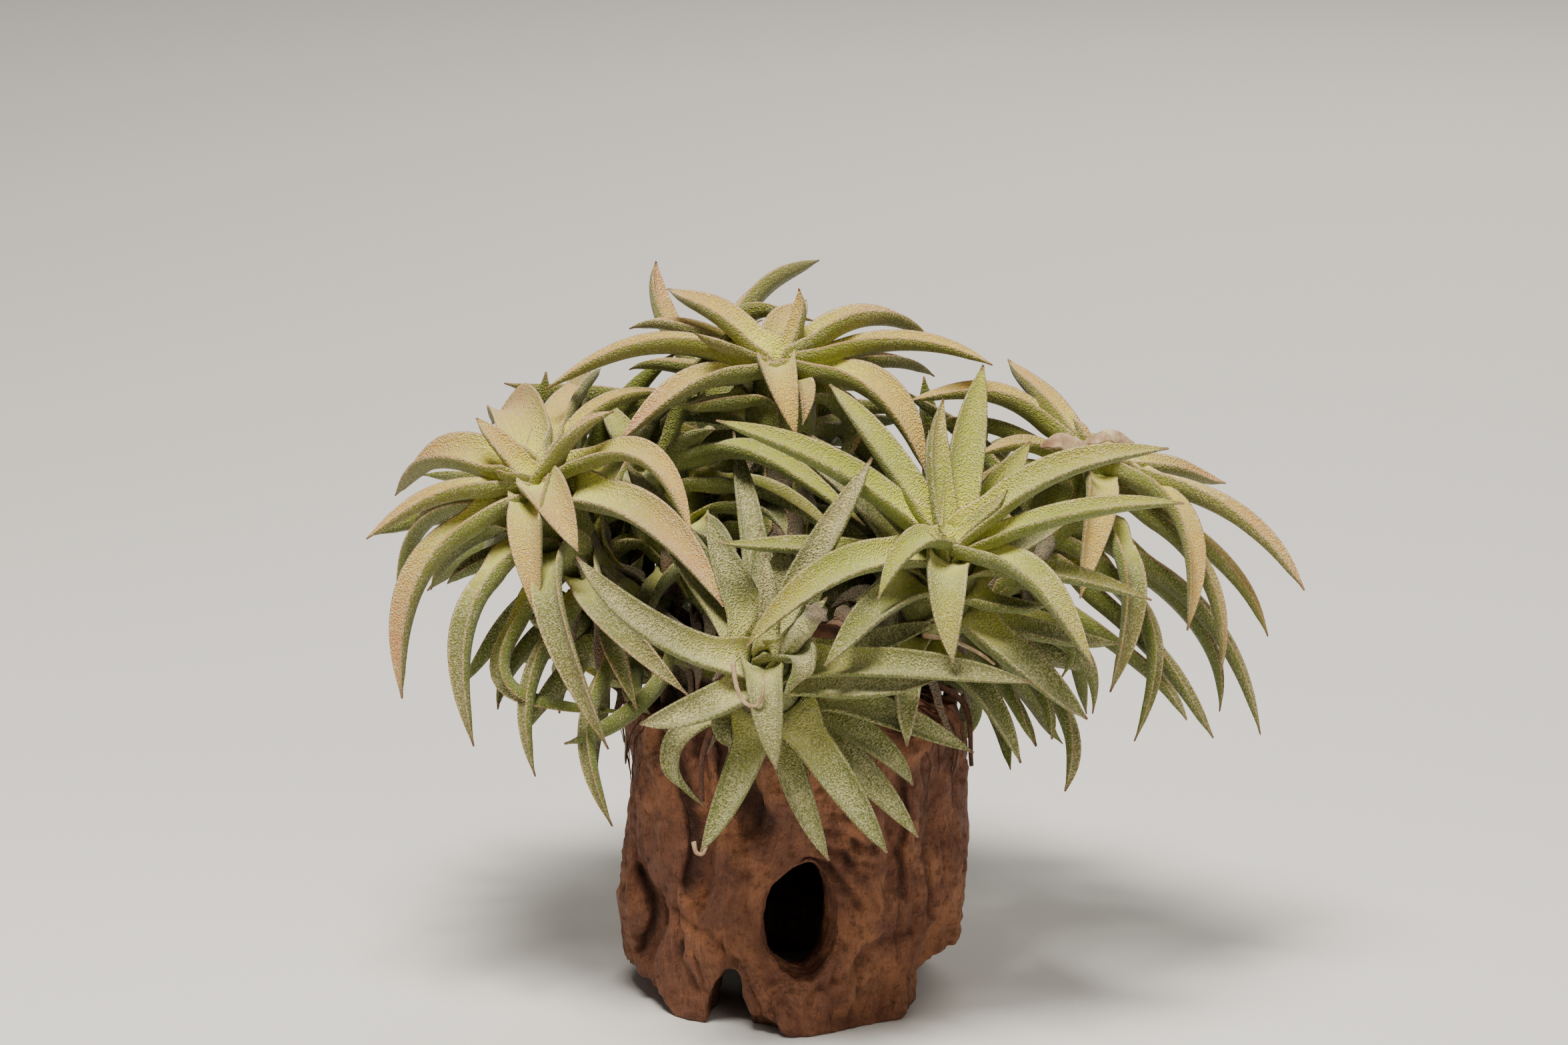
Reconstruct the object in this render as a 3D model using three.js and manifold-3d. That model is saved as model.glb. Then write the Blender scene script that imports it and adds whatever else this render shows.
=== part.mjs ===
// A clump of small air plants that grows on a short, hollow piece of driftwood.
// Millimetres, +Z up. The front of the clump looks along -Y, and +X is to the right.
import * as THREE from "three";
import { mergeVertices } from "three/addons/utils/BufferGeometryUtils.js";
import Module from "manifold-3d";

const wasm = await Module();
wasm.setup();

// Driving sizes of the wood.
const WOOD_HALF_WIDTH = 27;
const WOOD_HALF_DEPTH = 24.5;
const WOOD_TOP = 47;
const CAVITY_HALF_WIDTH = 17.5;
const CAVITY_HALF_DEPTH = 15.5;
const CAVITY_TOP = 36;
const WINDOW_HALF_WIDTH = 5.3;
const WINDOW_HALF_HEIGHT = 8.6;
const WINDOW_HEIGHT = 18;
const WINDOW_ACROSS = 1.2;
const WINDOW_LEAN = 0.2;

// The old woody base of the plants is a low dome on the wood.
const CROWN_RADIUS = 17;
const CROWN_HEIGHT = 13;
const CROWN_SIDES = 14;
const CROWN_RINGS = 4;
const ROOT_RADIUS = 0.7;
const SEAT_GAP = 0.3;

// A head is a leafy stem with a swollen top, and blades that grow from it.
const STEM_RADIUS = 3.2;
const BULB_RADIUS = 6.5;
const BULB_LENGTH = 17;
const BLADE_THICKNESS = 1.5;
const TROUGH_DEPTH = 0.48;
const BLADE_CLEARANCE = 0.75;

// The outline of the whole clump lies evenly round the origin, and the wood stands to the left of it.
const WOOD_AXIS = new THREE.Vector3(-6.75, -2.65, 0);

// Places in the tables are as seen from the front and 15 degrees above: across, up and forward.
const VIEW_TILT = THREE.MathUtils.degToRad(15);
const SIGHT = new THREE.Vector3(0, Math.cos(VIEW_TILT), -Math.sin(VIEW_TILT));

function seen(across, up, forward) {
  const height = (up + forward * Math.sin(VIEW_TILT)) / Math.cos(VIEW_TILT);
  return new THREE.Vector3(across, -forward, height);
}

// Each head has its heart, the way it opens, and the spot of the woody base that it grows from.
// Rows of shown leaves: tip (across, up, forward), crest (the same), width, and depth of the root
// below the heart. Grown leaves follow a rule: how many, the age of the youngest (the oldest is 1),
// the range of turns round the stem in degrees (0 is to the right, 90 to the back), and the length
// of the longest.
const HEADS = [
  {
    name: "head_left",
    color: 0xd9c79a,
    heart: [-41, 81, 8],
    opens: [-0.35, -0.25, 0.9],
    foot: [-11, -4.5],
    shown: [
      [-63, 78.3, -8, -57, 85.3, -1, 7, 2],
      [-67, 71.5, 14, -56, 79, 12, 4.8, 3],
      [-63.2, 58.5, -10, -60.5, 73.5, -7, 4.5, 7],
      [-61.7, 46.6, 18, -57.4, 69.2, 16, 6.2, 4],
      [-49.8, 39.3, 26, -51.2, 60.2, 22, 5.2, 11],
      [-39.3, 59.5, 24, -41.8, 76, 18, 5.5, 3],
      [-33.4, 70.2, 23, -38.8, 79.5, 17, 6, 1],
      [-29.4, 39, 29, -38.5, 64, 26, 4.8, 13],
      [-16, 72, 27, -23.5, 85.2, 17, 4.5, 3],
      [-11.6, 61.3, 36, -25, 76.8, 21, 5.8, 5],
      [-48.5, 90.5, -24, -44.3, 93, -8, 7.4, 2],
      [-31, 98.5, -22, -37, 92.8, -6, 6, 2],
      [-49.9, 91, 4, -46.2, 87, 7, 3.6, 2],
      [-28.5, 92.4, 12, -34, 89.2, 12, 3.6, 2],
      [-46.8, 82.4, 14, -44.6, 81.8, 11, 3, 1],
      [-18, 94.5, -4, -28, 94.3, 0, 4.2, 3],
      [-55.5, 65.3, 4, -50, 68.2, 4, 5, 12],
      [-58.5, 64, 2, -52, 72, 3, 4.8, 8],
      [-41.5, 34.2, 22, -41.9, 48.5, 20, 4, 22],
      [-25, 45.3, 21, -46, 49.6, 17, 4, 15],
      [-28.3, 26.8, 30, -32.5, 39.5, 27, 4, 31],
      [-24.4, 45.5, 27, -28.3, 56, 24, 4, 26],
      [-16.2, 48.2, 33, -30, 61.3, 25, 4.5, 19],
      [-35.5, 39.5, 24, -27.3, 43.5, 26, 3.6, 36],
    ],
    grown: { count: 8, youngest: 0.55, from: 40, to: 150, length: 34 },
  },
  {
    name: "head_top",
    color: 0xdcc9a0,
    heart: [-2.3, 99.7, -8],
    opens: [0, -0.2, 0.98],
    foot: [0, 2],
    shown: [
      [-39.1, 95.5, -3, -21, 103.2, -5, 5.4, 3],
      [-26.9, 106.5, -22, -18, 106.2, -16, 4.2, 4],
      [-20.5, 110.8, -20, -12.5, 108.4, -13, 5.4, 2],
      [1.7, 111.6, -9, 0.3, 106, -8, 3, 1],
      [1.5, 109.3, -21, -1.5, 105.8, -13, 6, 3],
      [-16.3, 104.2, 2, -11, 102.6, -2, 3.2, 2],
      [22, 104.5, -16, 10.5, 107.6, -11, 6, 2],
      [31.7, 99.9, -2, 16, 103.5, -5, 5, 2],
      [22.4, 98.5, -22, 14.5, 100.8, -15, 4, 5],
      [20.9, 82.3, 7, 13.6, 95.5, 3, 6.4, 3],
      [6.5, 81.5, -8, 8.8, 92.5, -8, 6, 6],
      [0.4, 88, 7, -2.6, 98.8, 2, 5.2, 2],
      [2.3, 89.9, 5, 2, 95.6, 2, 3, 5],
      [-26.9, 86.8, 6, -17, 96.3, 3, 5.8, 3],
      [-19, 92.2, 4, -12.5, 93.6, 0, 4.2, 7],
      [-26.6, 100, -16, -19, 99.9, -12, 4, 6],
    ],
    grown: { count: 10, youngest: 0.65, from: 20, to: 170, length: 30 },
  },
  {
    name: "head_front_right",
    color: 0xcfd59a,
    heart: [25, 70.7, 32],
    opens: [0.25, -0.45, 0.85],
    foot: [10, -8],
    shown: [
      [-12.1, 90.2, 32, 8, 82.4, 36, 5.4, 3],
      [5.3, 96.3, 20, 14.5, 85, 28, 4.8, 2],
      [22.5, 93.7, 26, 22.3, 83, 30, 3.8, 1],
      [29.5, 98.6, 18, 26.8, 86, 26, 5.2, 2],
      [57.9, 85.2, 33, 40, 82.5, 35, 4.8, 2],
      [33.6, 78.2, 37, 29.5, 75.7, 35, 3, 1],
      [60, 78, 40, 42, 76, 40, 4.2, 3],
      [55.2, 62, 38, 43, 66.3, 38, 3.6, 6],
      [45.5, 52.3, 47, 36.2, 66.8, 44, 5.6, 3],
      [24.1, 52.8, 48, 23.3, 64.3, 45, 5.6, 4],
      [12.4, 63, 47, 17.8, 71.2, 43, 3.8, 2],
      [5.1, 52.2, 50, 11, 60, 46, 4.8, 8],
      [-7.3, 55.2, 45, 6, 67.1, 43, 5, 4],
      [-11.6, 70.6, 36, 1, 71, 38, 3.6, 6],
      [45.6, 44.2, 39, 34.8, 53.4, 39, 5.8, 12],
      [39.5, 61, 37, 32.5, 61.8, 37, 3.6, 9],
      [50.6, 55.3, 28, 41, 56.9, 30, 3.6, 13],
      [41.2, 51, 27, 43.2, 56.5, 26, 3, 15],
      [47.2, 44.3, 26, 44.7, 54, 25, 3.6, 16],
      [17, 39.7, 43, 17.2, 49, 41, 4.4, 22],
      [35, 36.7, 32, 29.8, 47.5, 31, 4, 25],
    ],
    grown: { count: 7, youngest: 0.3, from: 20, to: 160, length: 32 },
  },
  {
    name: "head_right",
    color: 0xd9c79a,
    heart: [48, 84.5, 0],
    opens: [0.42, -0.12, 0.9],
    foot: [9, 1],
    shown: [
      [33.6, 99.8, -16, 40.3, 94.2, -8, 5.6, 2],
      [18.3, 93.2, -3, 31, 95.4, -4, 5.2, 3],
      [44.8, 91.5, -2, 46.3, 88, 0, 2.8, 1],
      [48, 89.2, -7, 48.6, 87, -4, 4, 1],
      [53, 87, -12, 50.8, 86.2, -7, 4, 3],
      [39.4, 85.5, 11, 43.8, 86.8, 7, 3.4, 2],
      [29, 85, 9, 36.5, 87.1, 5, 3.8, 4],
      [20.3, 89.9, -10, 33, 89.8, -7, 4, 5],
      [27, 80.2, 11, 35.5, 83, 8, 3.6, 7],
      [68.6, 79.8, -10, 60, 83.5, -4, 4.6, 2],
      [81.4, 64, 10, 67.8, 77.3, 8, 5, 3],
      [62.2, 57.4, 20, 61, 76, 14, 4.8, 3],
      [44.8, 62.9, 18, 48.3, 79.5, 12, 5, 3],
      [49.4, 47.8, 22, 53.1, 65.5, 18, 4.8, 9],
      [68.1, 50, 12, 64.2, 68.3, 10, 4.2, 6],
      [76.5, 56.8, 2, 67.1, 69.6, 2, 4.6, 5],
      [74.8, 40.5, 0, 67.9, 57.4, 0, 4.6, 13],
      [53.6, 39.9, 16, 56.9, 55.8, 14, 4.4, 17],
      [66.4, 39.7, 6, 59.9, 51.3, 6, 4.6, 19],
      [62.6, 43, 10, 57, 50.5, 10, 3.6, 25],
      [69.4, 44, -6, 66, 56.5, -4, 4, 13],
      [42.9, 32.1, 22, 43.8, 41.5, 20, 3.8, 31],
      [40.7, 40.2, 23, 39.4, 47, 21, 3, 33],
      [37.3, 39.4, 24, 35, 46, 22, 3.4, 36],
    ],
    grown: { count: 9, youngest: 0.7, from: 15, to: 165, length: 32 },
  },
  {
    name: "head_front_low",
    color: 0xa9b596,
    heart: [-4.6, 54, 42],
    opens: [-0.05, -0.72, 0.69],
    foot: [-1, -13],
    shown: [
      [-33.6, 69.2, 43, -20, 57.2, 46, 4.6, 3],
      [-26.5, 84, 8, -16.2, 69, 25, 5.2, 4],
      [12.8, 83.9, 40, 4.9, 72, 43, 4.4, 2],
      [-10, 88.5, -2, -6.8, 74, 14, 3.8, 8],
      [-3.9, 69.6, 40, -3.8, 63, 41, 2.6, 1],
      [36.7, 50.1, 41, 15, 52.8, 46, 4.2, 4],
      [22, 50, 44, 10, 49.2, 46, 4, 6],
      [-24.4, 44, 46, -14, 46.2, 48, 4.8, 5],
      [-2.3, 36.5, 55, -4.1, 46.3, 53, 4.8, 3],
      [5, 62.5, 50, 1.5, 58.5, 48, 3, 2],
      [-2.5, 47, 52, 1.5, 53.5, 50, 4, 2],
      [21.7, 59.4, 36, 13.5, 56.4, 37, 3.8, 9],
      [27.5, 38.8, 40, 16, 44.4, 42, 4.2, 11],
      [19.3, 34.2, 40, 13, 40.2, 41, 4, 14],
      [19.6, 26.2, 39, 9.6, 37, 40, 4.6, 15],
      [15, 23.6, 45, 5.2, 37, 45, 5, 10],
      [4.8, 21.5, 43, 0.2, 33.7, 43, 4, 13],
      [-14.7, 23.6, 46, -8.8, 34.8, 45, 4.8, 10],
      [-14, 29.8, 38, -19.3, 37.8, 37, 3, 20],
      [-8.5, 38.7, 42, -11.2, 42.8, 41, 3.2, 15],
    ],
    grown: { count: 4, youngest: 0.3, from: 60, to: 120, length: 26 },
  },
  {
    name: "head_middle",
    color: 0xb9c08c,
    heart: [-21, 83, -8],
    opens: [-0.15, 0, 1],
    foot: [-7.5, 2.5],
    shown: [
      [11, 73.6, 19, -10, 86.4, 5, 4.8, 3],
      [8, 71.8, 10, -8, 80.7, 2, 4.8, 5],
      [-1.7, 72, 13, -3.6, 76.6, 7, 3.4, 9],
      [-5.5, 107.6, -14, -15.3, 99.3, -9, 3.5, 2],
    ],
    grown: { count: 13, youngest: 0.2, from: 20, to: 330, length: 30 },
  },
  {
    name: "head_back_top",
    color: 0xc3bf8e,
    heart: [-13, 100, -32],
    opens: [-0.1, 0.3, 0.95],
    foot: [-3.5, 9.5],
    shown: [
      [-22.3, 117, -46, -21.4, 109.5, -40, 4.6, 3],
      [4.6, 117, -50, -4.5, 113.6, -42, 5.2, 2],
      [3.2, 106, -25, -5, 109.1, -27, 3.8, 3],
    ],
    grown: { count: 17, youngest: 0.5, from: -10, to: 200, length: 32 },
  },
  {
    name: "head_back_right",
    color: 0xb9c08c,
    heart: [24, 76, -32],
    opens: [0.35, 0.55, 0.8],
    foot: [5.5, 9],
    shown: [],
    grown: { count: 21, youngest: 0.15, from: -170, to: 190, length: 36 },
  },
  {
    name: "head_back_left",
    color: 0xb9c08c,
    heart: [-37, 79, -26],
    opens: [-0.45, 0.45, 0.8],
    foot: [-10.5, 9.5],
    shown: [],
    grown: { count: 21, youngest: 0.15, from: -170, to: 190, length: 36 },
  },
  {
    name: "head_back_low",
    color: 0xa9b596,
    heart: [-5, 68, -40],
    opens: [-0.1, 0.8, 0.6],
    foot: [1.5, 15],
    shown: [],
    grown: { count: 21, youngest: 0, from: -170, to: 190, length: 34 },
  },
  {
    name: "head_right_low",
    color: 0xa9b596,
    heart: [34, 57, -14],
    opens: [0.8, 0.35, 0.5],
    foot: [13, 7.5],
    shown: [],
    grown: { count: 13, youngest: 0, from: -170, to: 190, length: 24 },
  },
  {
    name: "head_left_low",
    color: 0xa9b596,
    heart: [-33, 57, -8],
    opens: [-0.85, 0.25, 0.4],
    foot: [-14.5, 2.5],
    shown: [],
    grown: { count: 12, youngest: 0, from: -170, to: 190, length: 24 },
  },
];

// A small seeded generator keeps every draw the same from run to run.
let seed = 20251;
function draw(low, high) {
  seed = (Math.imul(seed, 1664525) + 1013904223) >>> 0;
  return low + (high - low) * (seed / 4294967296);
}

function solidOf(geometry) {
  const bare = geometry.clone();
  bare.deleteAttribute("normal");
  bare.deleteAttribute("uv");
  const merged = mergeVertices(bare, 1e-4);
  return new wasm.Manifold(
    new wasm.Mesh({
      numProp: 3,
      vertProperties: merged.attributes.position.array,
      triVerts: new Uint32Array(merged.index.array),
    }),
  );
}

// The outer body alone: small hollows that fusing seals are filled, and loose scraps are dropped.
function oneBody(solid) {
  return solid.decompose().reduce((best, body) => (body.volume() > best.volume() ? body : best));
}

// Fusing leaves some very short edges, and each is drawn together into one corner. The faces round
// it still join up when its two ends share just two neighbours.
const SHORTEST_EDGE = 0.04;

function neighboursOf(faces) {
  const neighbours = new Map();
  for (const face of faces) {
    for (const corner of face) {
      if (!neighbours.has(corner)) neighbours.set(corner, new Set());
      face.forEach((other) => neighbours.get(corner).add(other));
    }
  }
  return neighbours;
}

function shortEdge(places, faces) {
  const neighbours = neighboursOf(faces);
  for (const face of faces) {
    for (let k = 0; k < 3; k += 1) {
      const ends = [face[k], face[(k + 1) % 3]];
      if (places[ends[0]].distanceTo(places[ends[1]]) >= SHORTEST_EDGE) continue;
      const near = neighbours.get(ends[0]);
      const shared = [...neighbours.get(ends[1])].filter((corner) => near.has(corner));
      // The two ends themselves are among the shared corners.
      if (shared.length === 4) return ends;
    }
  }
  return null;
}

function withoutShortEdges(places, faces) {
  let left = faces;
  for (let ends = shortEdge(places, left); ends; ends = shortEdge(places, left)) {
    const [kept, gone] = ends;
    left = left
      .map((face) => face.map((corner) => (corner === gone ? kept : corner)))
      .filter(([a, b, c]) => a !== b && b !== c && c !== a);
  }
  return left;
}

// Corners of a finished body lie on a fine grid, and faces too small for it are dropped.
const GRIDS = [0.005, 0.004, 0.003, 0.002, 0.001];

function onGrid(places, faces, grid) {
  const geometry = new THREE.BufferGeometry();
  const snapped = places.flatMap((place) => place.toArray().map((value) => Math.round(value / grid) * grid));
  geometry.setAttribute("position", new THREE.Float32BufferAttribute(snapped, 3));
  geometry.setIndex(faces.flat());
  const merged = mergeVertices(geometry, grid / 4);
  const corners = [...merged.index.array];
  const left = [];
  for (let i = 0; i < corners.length; i += 3) {
    const [a, b, c] = corners.slice(i, i + 3);
    if (a !== b && b !== c && c !== a) left.push(a, b, c);
  }
  merged.setIndex(left);
  return merged;
}

// Whether each edge joins exactly two faces, once in each direction.
function closes(geometry) {
  const corners = geometry.index.array;
  const edges = new Set();
  for (let i = 0; i < corners.length; i += 3) {
    for (let k = 0; k < 3; k += 1) {
      const edge = `${corners[i + k]} ${corners[i + ((k + 1) % 3)]}`;
      if (edges.has(edge)) return false;
      edges.add(edge);
    }
  }
  return [...edges].every((edge) => edges.has(edge.split(" ").reverse().join(" ")));
}

function geometryOf(solid) {
  const { vertProperties: values, triVerts } = solid.getMesh();
  const places = Array.from({ length: values.length / 3 }, (_, i) =>
    new THREE.Vector3().fromArray(values, 3 * i),
  );
  const all = Array.from({ length: triVerts.length / 3 }, (_, i) => [...triVerts.slice(3 * i, 3 * i + 3)]);
  const faces = withoutShortEdges(places, all);
  for (const grid of GRIDS) {
    const geometry = onGrid(places, faces, grid);
    if (closes(geometry)) {
      geometry.computeVertexNormals();
      return geometry;
    }
  }
  throw new Error("a body does not close on any of the grids");
}

// Moves every corner of a geometry to where a rule puts it.
function reshape(geometry, rule) {
  const corners = geometry.getAttribute("position");
  const corner = new THREE.Vector3();
  for (let i = 0; i < corners.count; i += 1) {
    corner.fromBufferAttribute(corners, i);
    const moved = rule(corner);
    corners.setXYZ(i, moved.x, moved.y, moved.z);
  }
  return geometry;
}

// A cone of unit height bent along a line: section gives the point for the share of the length
// and the two coordinates of the section, which lie on the unit circle or at its middle.
function bentCone(sides, steps, section) {
  return reshape(new THREE.ConeGeometry(1, 1, sides, steps), (corner) => {
    const share = corner.y + 0.5;
    const size = 1 - share;
    return size < 1e-6 ? section(1, 0, 0) : section(share, corner.x / size, corner.z / size);
  });
}

function ellipsoid(place, halves, sides, rings) {
  const geometry = new THREE.SphereGeometry(1, sides, rings);
  geometry.scale(halves[0], halves[1], halves[2]);
  geometry.translate(place[0], place[1], place[2]);
  return solidOf(geometry);
}

// Curves through three points, which the stems and the blades follow.

function along(curve, share) {
  const rest = 1 - share;
  return new THREE.Vector3()
    .addScaledVector(curve.start, rest * rest)
    .addScaledVector(curve.bend, 2 * share * rest)
    .addScaledVector(curve.end, share * share);
}

function heading(curve, share) {
  return new THREE.Vector3()
    .addScaledVector(curve.start, share - 1)
    .addScaledVector(curve.bend, 1 - 2 * share)
    .addScaledVector(curve.end, share)
    .normalize();
}

// The bend of a curve that passes through a crest between its ends.
function bendThrough(start, crest, end) {
  const near = start.distanceTo(crest);
  const share = THREE.MathUtils.clamp(near / (near + crest.distanceTo(end)), 0.35, 0.65);
  return crest
    .clone()
    .addScaledVector(start, -((1 - share) ** 2))
    .addScaledVector(end, -(share ** 2))
    .divideScalar(2 * share * (1 - share));
}

// The woody base.

function crownTop(x, y) {
  const out = Math.min(1, Math.hypot(x, y) / CROWN_RADIUS);
  return WOOD_TOP + SEAT_GAP + CROWN_HEIGHT * Math.sqrt(1 - out * out);
}

// Stems.

function stemOf(head) {
  const heart = seen(...head.heart);
  const opens = new THREE.Vector3(...head.opens).normalize();
  const [x, y] = head.foot;
  const foot = new THREE.Vector3(x, y, crownTop(x, y) - 3);
  const reach = foot.distanceTo(heart);
  return {
    start: foot,
    bend: heart.clone().addScaledVector(opens, -0.5 * reach),
    end: heart,
    length: reach,
  };
}

function stemRadius(stem, share) {
  const below = (1 - share) * stem.length;
  const bulbLength = Math.min(BULB_LENGTH, 0.62 * stem.length);
  const fromMiddle = (2 * below) / bulbLength - 1;
  const bulb = BULB_RADIUS * Math.sqrt(Math.max(0, 1 - fromMiddle * fromMiddle));
  return below < 0.5 * bulbLength ? bulb : Math.max(bulb, STEM_RADIUS);
}

// Two directions square to the stem: the first lies to the right, the second to the back.
function roundStem(stem, share) {
  const up = heading(stem, share);
  const right = new THREE.Vector3(1, 0, 0).addScaledVector(up, -up.x).normalize();
  const back = new THREE.Vector3().crossVectors(up, right);
  return { up, right, back };
}

// Leaves.

function leafFrom(head, stem, depth, shown, width, shape) {
  const share = Math.max(0.05, 1 - depth / stem.length);
  const { up, right, back } = roundStem(stem, share);
  const middle = along(stem, share);
  const leaf = shape(middle, up, right, back);
  const out = leaf.end.clone().add(leaf.bend).multiplyScalar(0.5).sub(middle);
  out.addScaledVector(up, -out.dot(up)).normalize();
  leaf.across = new THREE.Vector3().crossVectors(up, out);
  return Object.assign(leaf, { head: head.name, width, shown });
}

function shownLeaf(head, stem, row) {
  const tip = seen(row[0], row[1], row[2]);
  const crest = seen(row[3], row[4], row[5]);
  return leafFrom(head, stem, row[7], true, row[6], (middle) => ({
    start: middle,
    bend: bendThrough(middle, crest, tip),
    end: tip,
  }));
}

// A grown leaf opens from the stem and hangs over, more so the older and lower it is.
const GOLDEN = 0.618034;

function grownLeaf(head, stem, index) {
  const { count, youngest, from, to, length } = head.grown;
  const age = youngest + ((1 - youngest) * (index + 0.5)) / count;
  const turn = THREE.MathUtils.degToRad(from + (to - from) * ((index * GOLDEN + 0.3) % 1));
  const opening = THREE.MathUtils.degToRad(20 + 55 * age + draw(-6, 6));
  const hanging = THREE.MathUtils.degToRad(50 + 85 * age + draw(-12, 12));
  const size = length * (0.5 + 0.5 * Math.min(1, 2 * age)) * draw(0.9, 1.08);
  const depth = 2 + 0.55 * (stem.length - 2) * age * age;
  const width = 3.6 + 2 * Math.min(1, 2 * age) - 1.2 * age * age;
  return leafFrom(head, stem, depth, false, width, (middle, up, right, back) => {
    const out = right.clone().multiplyScalar(Math.cos(turn)).addScaledVector(back, Math.sin(turn));
    const toward = (angle, distance, start) =>
      start
        .clone()
        .addScaledVector(up, Math.cos(angle) * distance)
        .addScaledVector(out, Math.sin(angle) * distance);
    const bend = toward(opening, 0.48 * size, middle);
    const end = toward(hanging, 0.6 * size, bend);
    return { start: middle, bend, end, home: end.clone() };
  });
}

function bladeWidth(leaf, share) {
  const neck = 0.45 + 0.55 * Math.min(1, share / 0.3);
  return 1.12 * leaf.width * (1 - share ** 4) * neck;
}

function bladeThickness(share) {
  return BLADE_THICKNESS * (1 - 0.4 * share);
}

// The directions across a blade and up from its face, at a share of its length. A shown blade turns
// its face a little to the front.
const TURN_TO_FRONT = 0.45;

function bladeFrame(leaf, share) {
  const ahead = heading(leaf, share);
  const side = leaf.across.clone().addScaledVector(ahead, -leaf.across.dot(ahead)).normalize();
  const face = new THREE.Vector3().crossVectors(ahead, side);
  if (leaf.shown) face.addScaledVector(SIGHT, -TURN_TO_FRONT * share);
  face.addScaledVector(ahead, -face.dot(ahead)).normalize();
  side.crossVectors(face, ahead);
  return { side, face };
}

// Leaves of different heads are bent clear of each other before they are made.
// Shown leaves only move along the line of sight, so that they keep their place in the front view.
const ROUNDS = 90;
const PROBES = 14;
const FIRST_PROBE = 0.14;
const WOOD_CLEAR_RADIUS = 30;
const CROWN_CLEAR_RADIUS = 19;

function probesOf(leaf) {
  return Array.from({ length: PROBES }, (_, k) => {
    const share = FIRST_PROBE + ((1 - FIRST_PROBE) * k) / (PROBES - 1);
    const { side, face } = bladeFrame(leaf, share);
    return {
      share,
      place: along(leaf, share),
      side: side.multiplyScalar(0.5 * bladeWidth(leaf, share)),
      face: face.multiplyScalar(0.5 * bladeThickness(share) + 0.25),
      round: 0,
    };
  });
}

function stemProbes(head, stem) {
  return Array.from({ length: PROBES }, (_, k) => {
    const share = 0.15 + (0.85 * k) / (PROBES - 1);
    const none = new THREE.Vector3();
    return { share, place: along(stem, share), side: none, face: none, round: stemRadius(stem, share) };
  });
}

function reachOf(probe, way) {
  return Math.hypot(probe.side.dot(way), probe.face.dot(way)) + probe.round;
}

// The two probes of two pieces that are short of room by most, or null.
function tightest(a, b) {
  const way = new THREE.Vector3();
  let worst = null;
  for (const p of a) {
    for (const q of b) {
      way.subVectors(p.place, q.place);
      const gap = way.length();
      if (gap > 9) continue;
      way.divideScalar(Math.max(gap, 1e-6));
      const short = reachOf(p, way) + reachOf(q, way) + BLADE_CLEARANCE - gap;
      if (short > 0 && (!worst || short > worst.short)) {
        worst = { short, way: way.clone(), p: p.share, q: q.share };
      }
    }
  }
  return worst;
}

function boxOf(probes) {
  return new THREE.Box3().setFromPoints(probes.map((p) => p.place)).expandByScalar(4);
}

// Adds a shift at a share of a leaf's length to the shifts of its bend and its tip.
function pushLeaf(shift, share, way, distance) {
  const bendPart = 2 * share * (1 - share);
  const tipPart = share * share;
  const scale = distance / (bendPart * bendPart + tipPart * tipPart);
  shift.bend.addScaledVector(way, bendPart * scale);
  shift.end.addScaledVector(way, tipPart * scale);
}

function alongSight(way) {
  return SIGHT.clone().multiplyScalar(way.dot(SIGHT) < 0 ? -1 : 1);
}

function keepOffWood(leaf, probes, shift) {
  for (const p of probes) {
    const out = new THREE.Vector3(p.place.x, p.place.y, 0);
    const radius = Math.max(out.length(), 1e-6);
    const short = WOOD_CLEAR_RADIUS + 1 - radius;
    if (p.place.z < WOOD_TOP + 1 && short > 0) {
      out.divideScalar(radius);
      const way = leaf.shown ? alongSight(out) : out;
      pushLeaf(shift, p.share, way, 0.3 * short);
    }
    const above = p.place.clone().setZ(p.place.z - WOOD_TOP);
    const high = Math.max(above.length(), 1e-6);
    if (p.place.z >= WOOD_TOP + 1 && high < CROWN_CLEAR_RADIUS) {
      pushLeaf(shift, p.share, above.divideScalar(high), 0.3 * (CROWN_CLEAR_RADIUS - high));
    }
  }
}

function bendClear(leaves, stems) {
  const cores = stems.map(({ head, stem }) => {
    const probes = stemProbes(head, stem);
    return { head: head.name, probes, box: boxOf(probes) };
  });
  for (let round = 0; round < ROUNDS; round += 1) {
    const probes = leaves.map(probesOf);
    const boxes = probes.map(boxOf);
    const shifts = leaves.map(() => ({ bend: new THREE.Vector3(), end: new THREE.Vector3() }));
    for (let i = 0; i < leaves.length; i += 1) {
      for (let j = i + 1; j < leaves.length; j += 1) {
        if (leaves[i].head === leaves[j].head || !boxes[i].intersectsBox(boxes[j])) continue;
        const found = tightest(probes[i], probes[j]);
        if (!found) continue;
        const same = leaves[i].shown === leaves[j].shown;
        const way = same && leaves[i].shown ? alongSight(found.way) : found.way;
        const first = same ? 0.5 : leaves[i].shown ? 0 : 1;
        pushLeaf(shifts[i], found.p, way, 0.5 * first * found.short);
        pushLeaf(shifts[j], found.q, way, -0.5 * (1 - first) * found.short);
      }
      for (const core of cores) {
        if (core.head === leaves[i].head || !boxes[i].intersectsBox(core.box)) continue;
        const found = tightest(probes[i], core.probes);
        if (!found) continue;
        const way = leaves[i].shown ? alongSight(found.way) : found.way;
        pushLeaf(shifts[i], found.p, way, 0.5 * found.short);
      }
      keepOffWood(leaves[i], probes[i], shifts[i]);
    }
    leaves.forEach((leaf, i) => {
      leaf.bend.add(shifts[i].bend.clampLength(0, 2));
      leaf.end.add(shifts[i].end.clampLength(0, 2));
    });
  }
}

// A grown leaf that finds no room, or only far from where it belongs, isn't made.
const LEAST_ROOM = 0.1;
const FARTHEST_BEND = 9;

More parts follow.
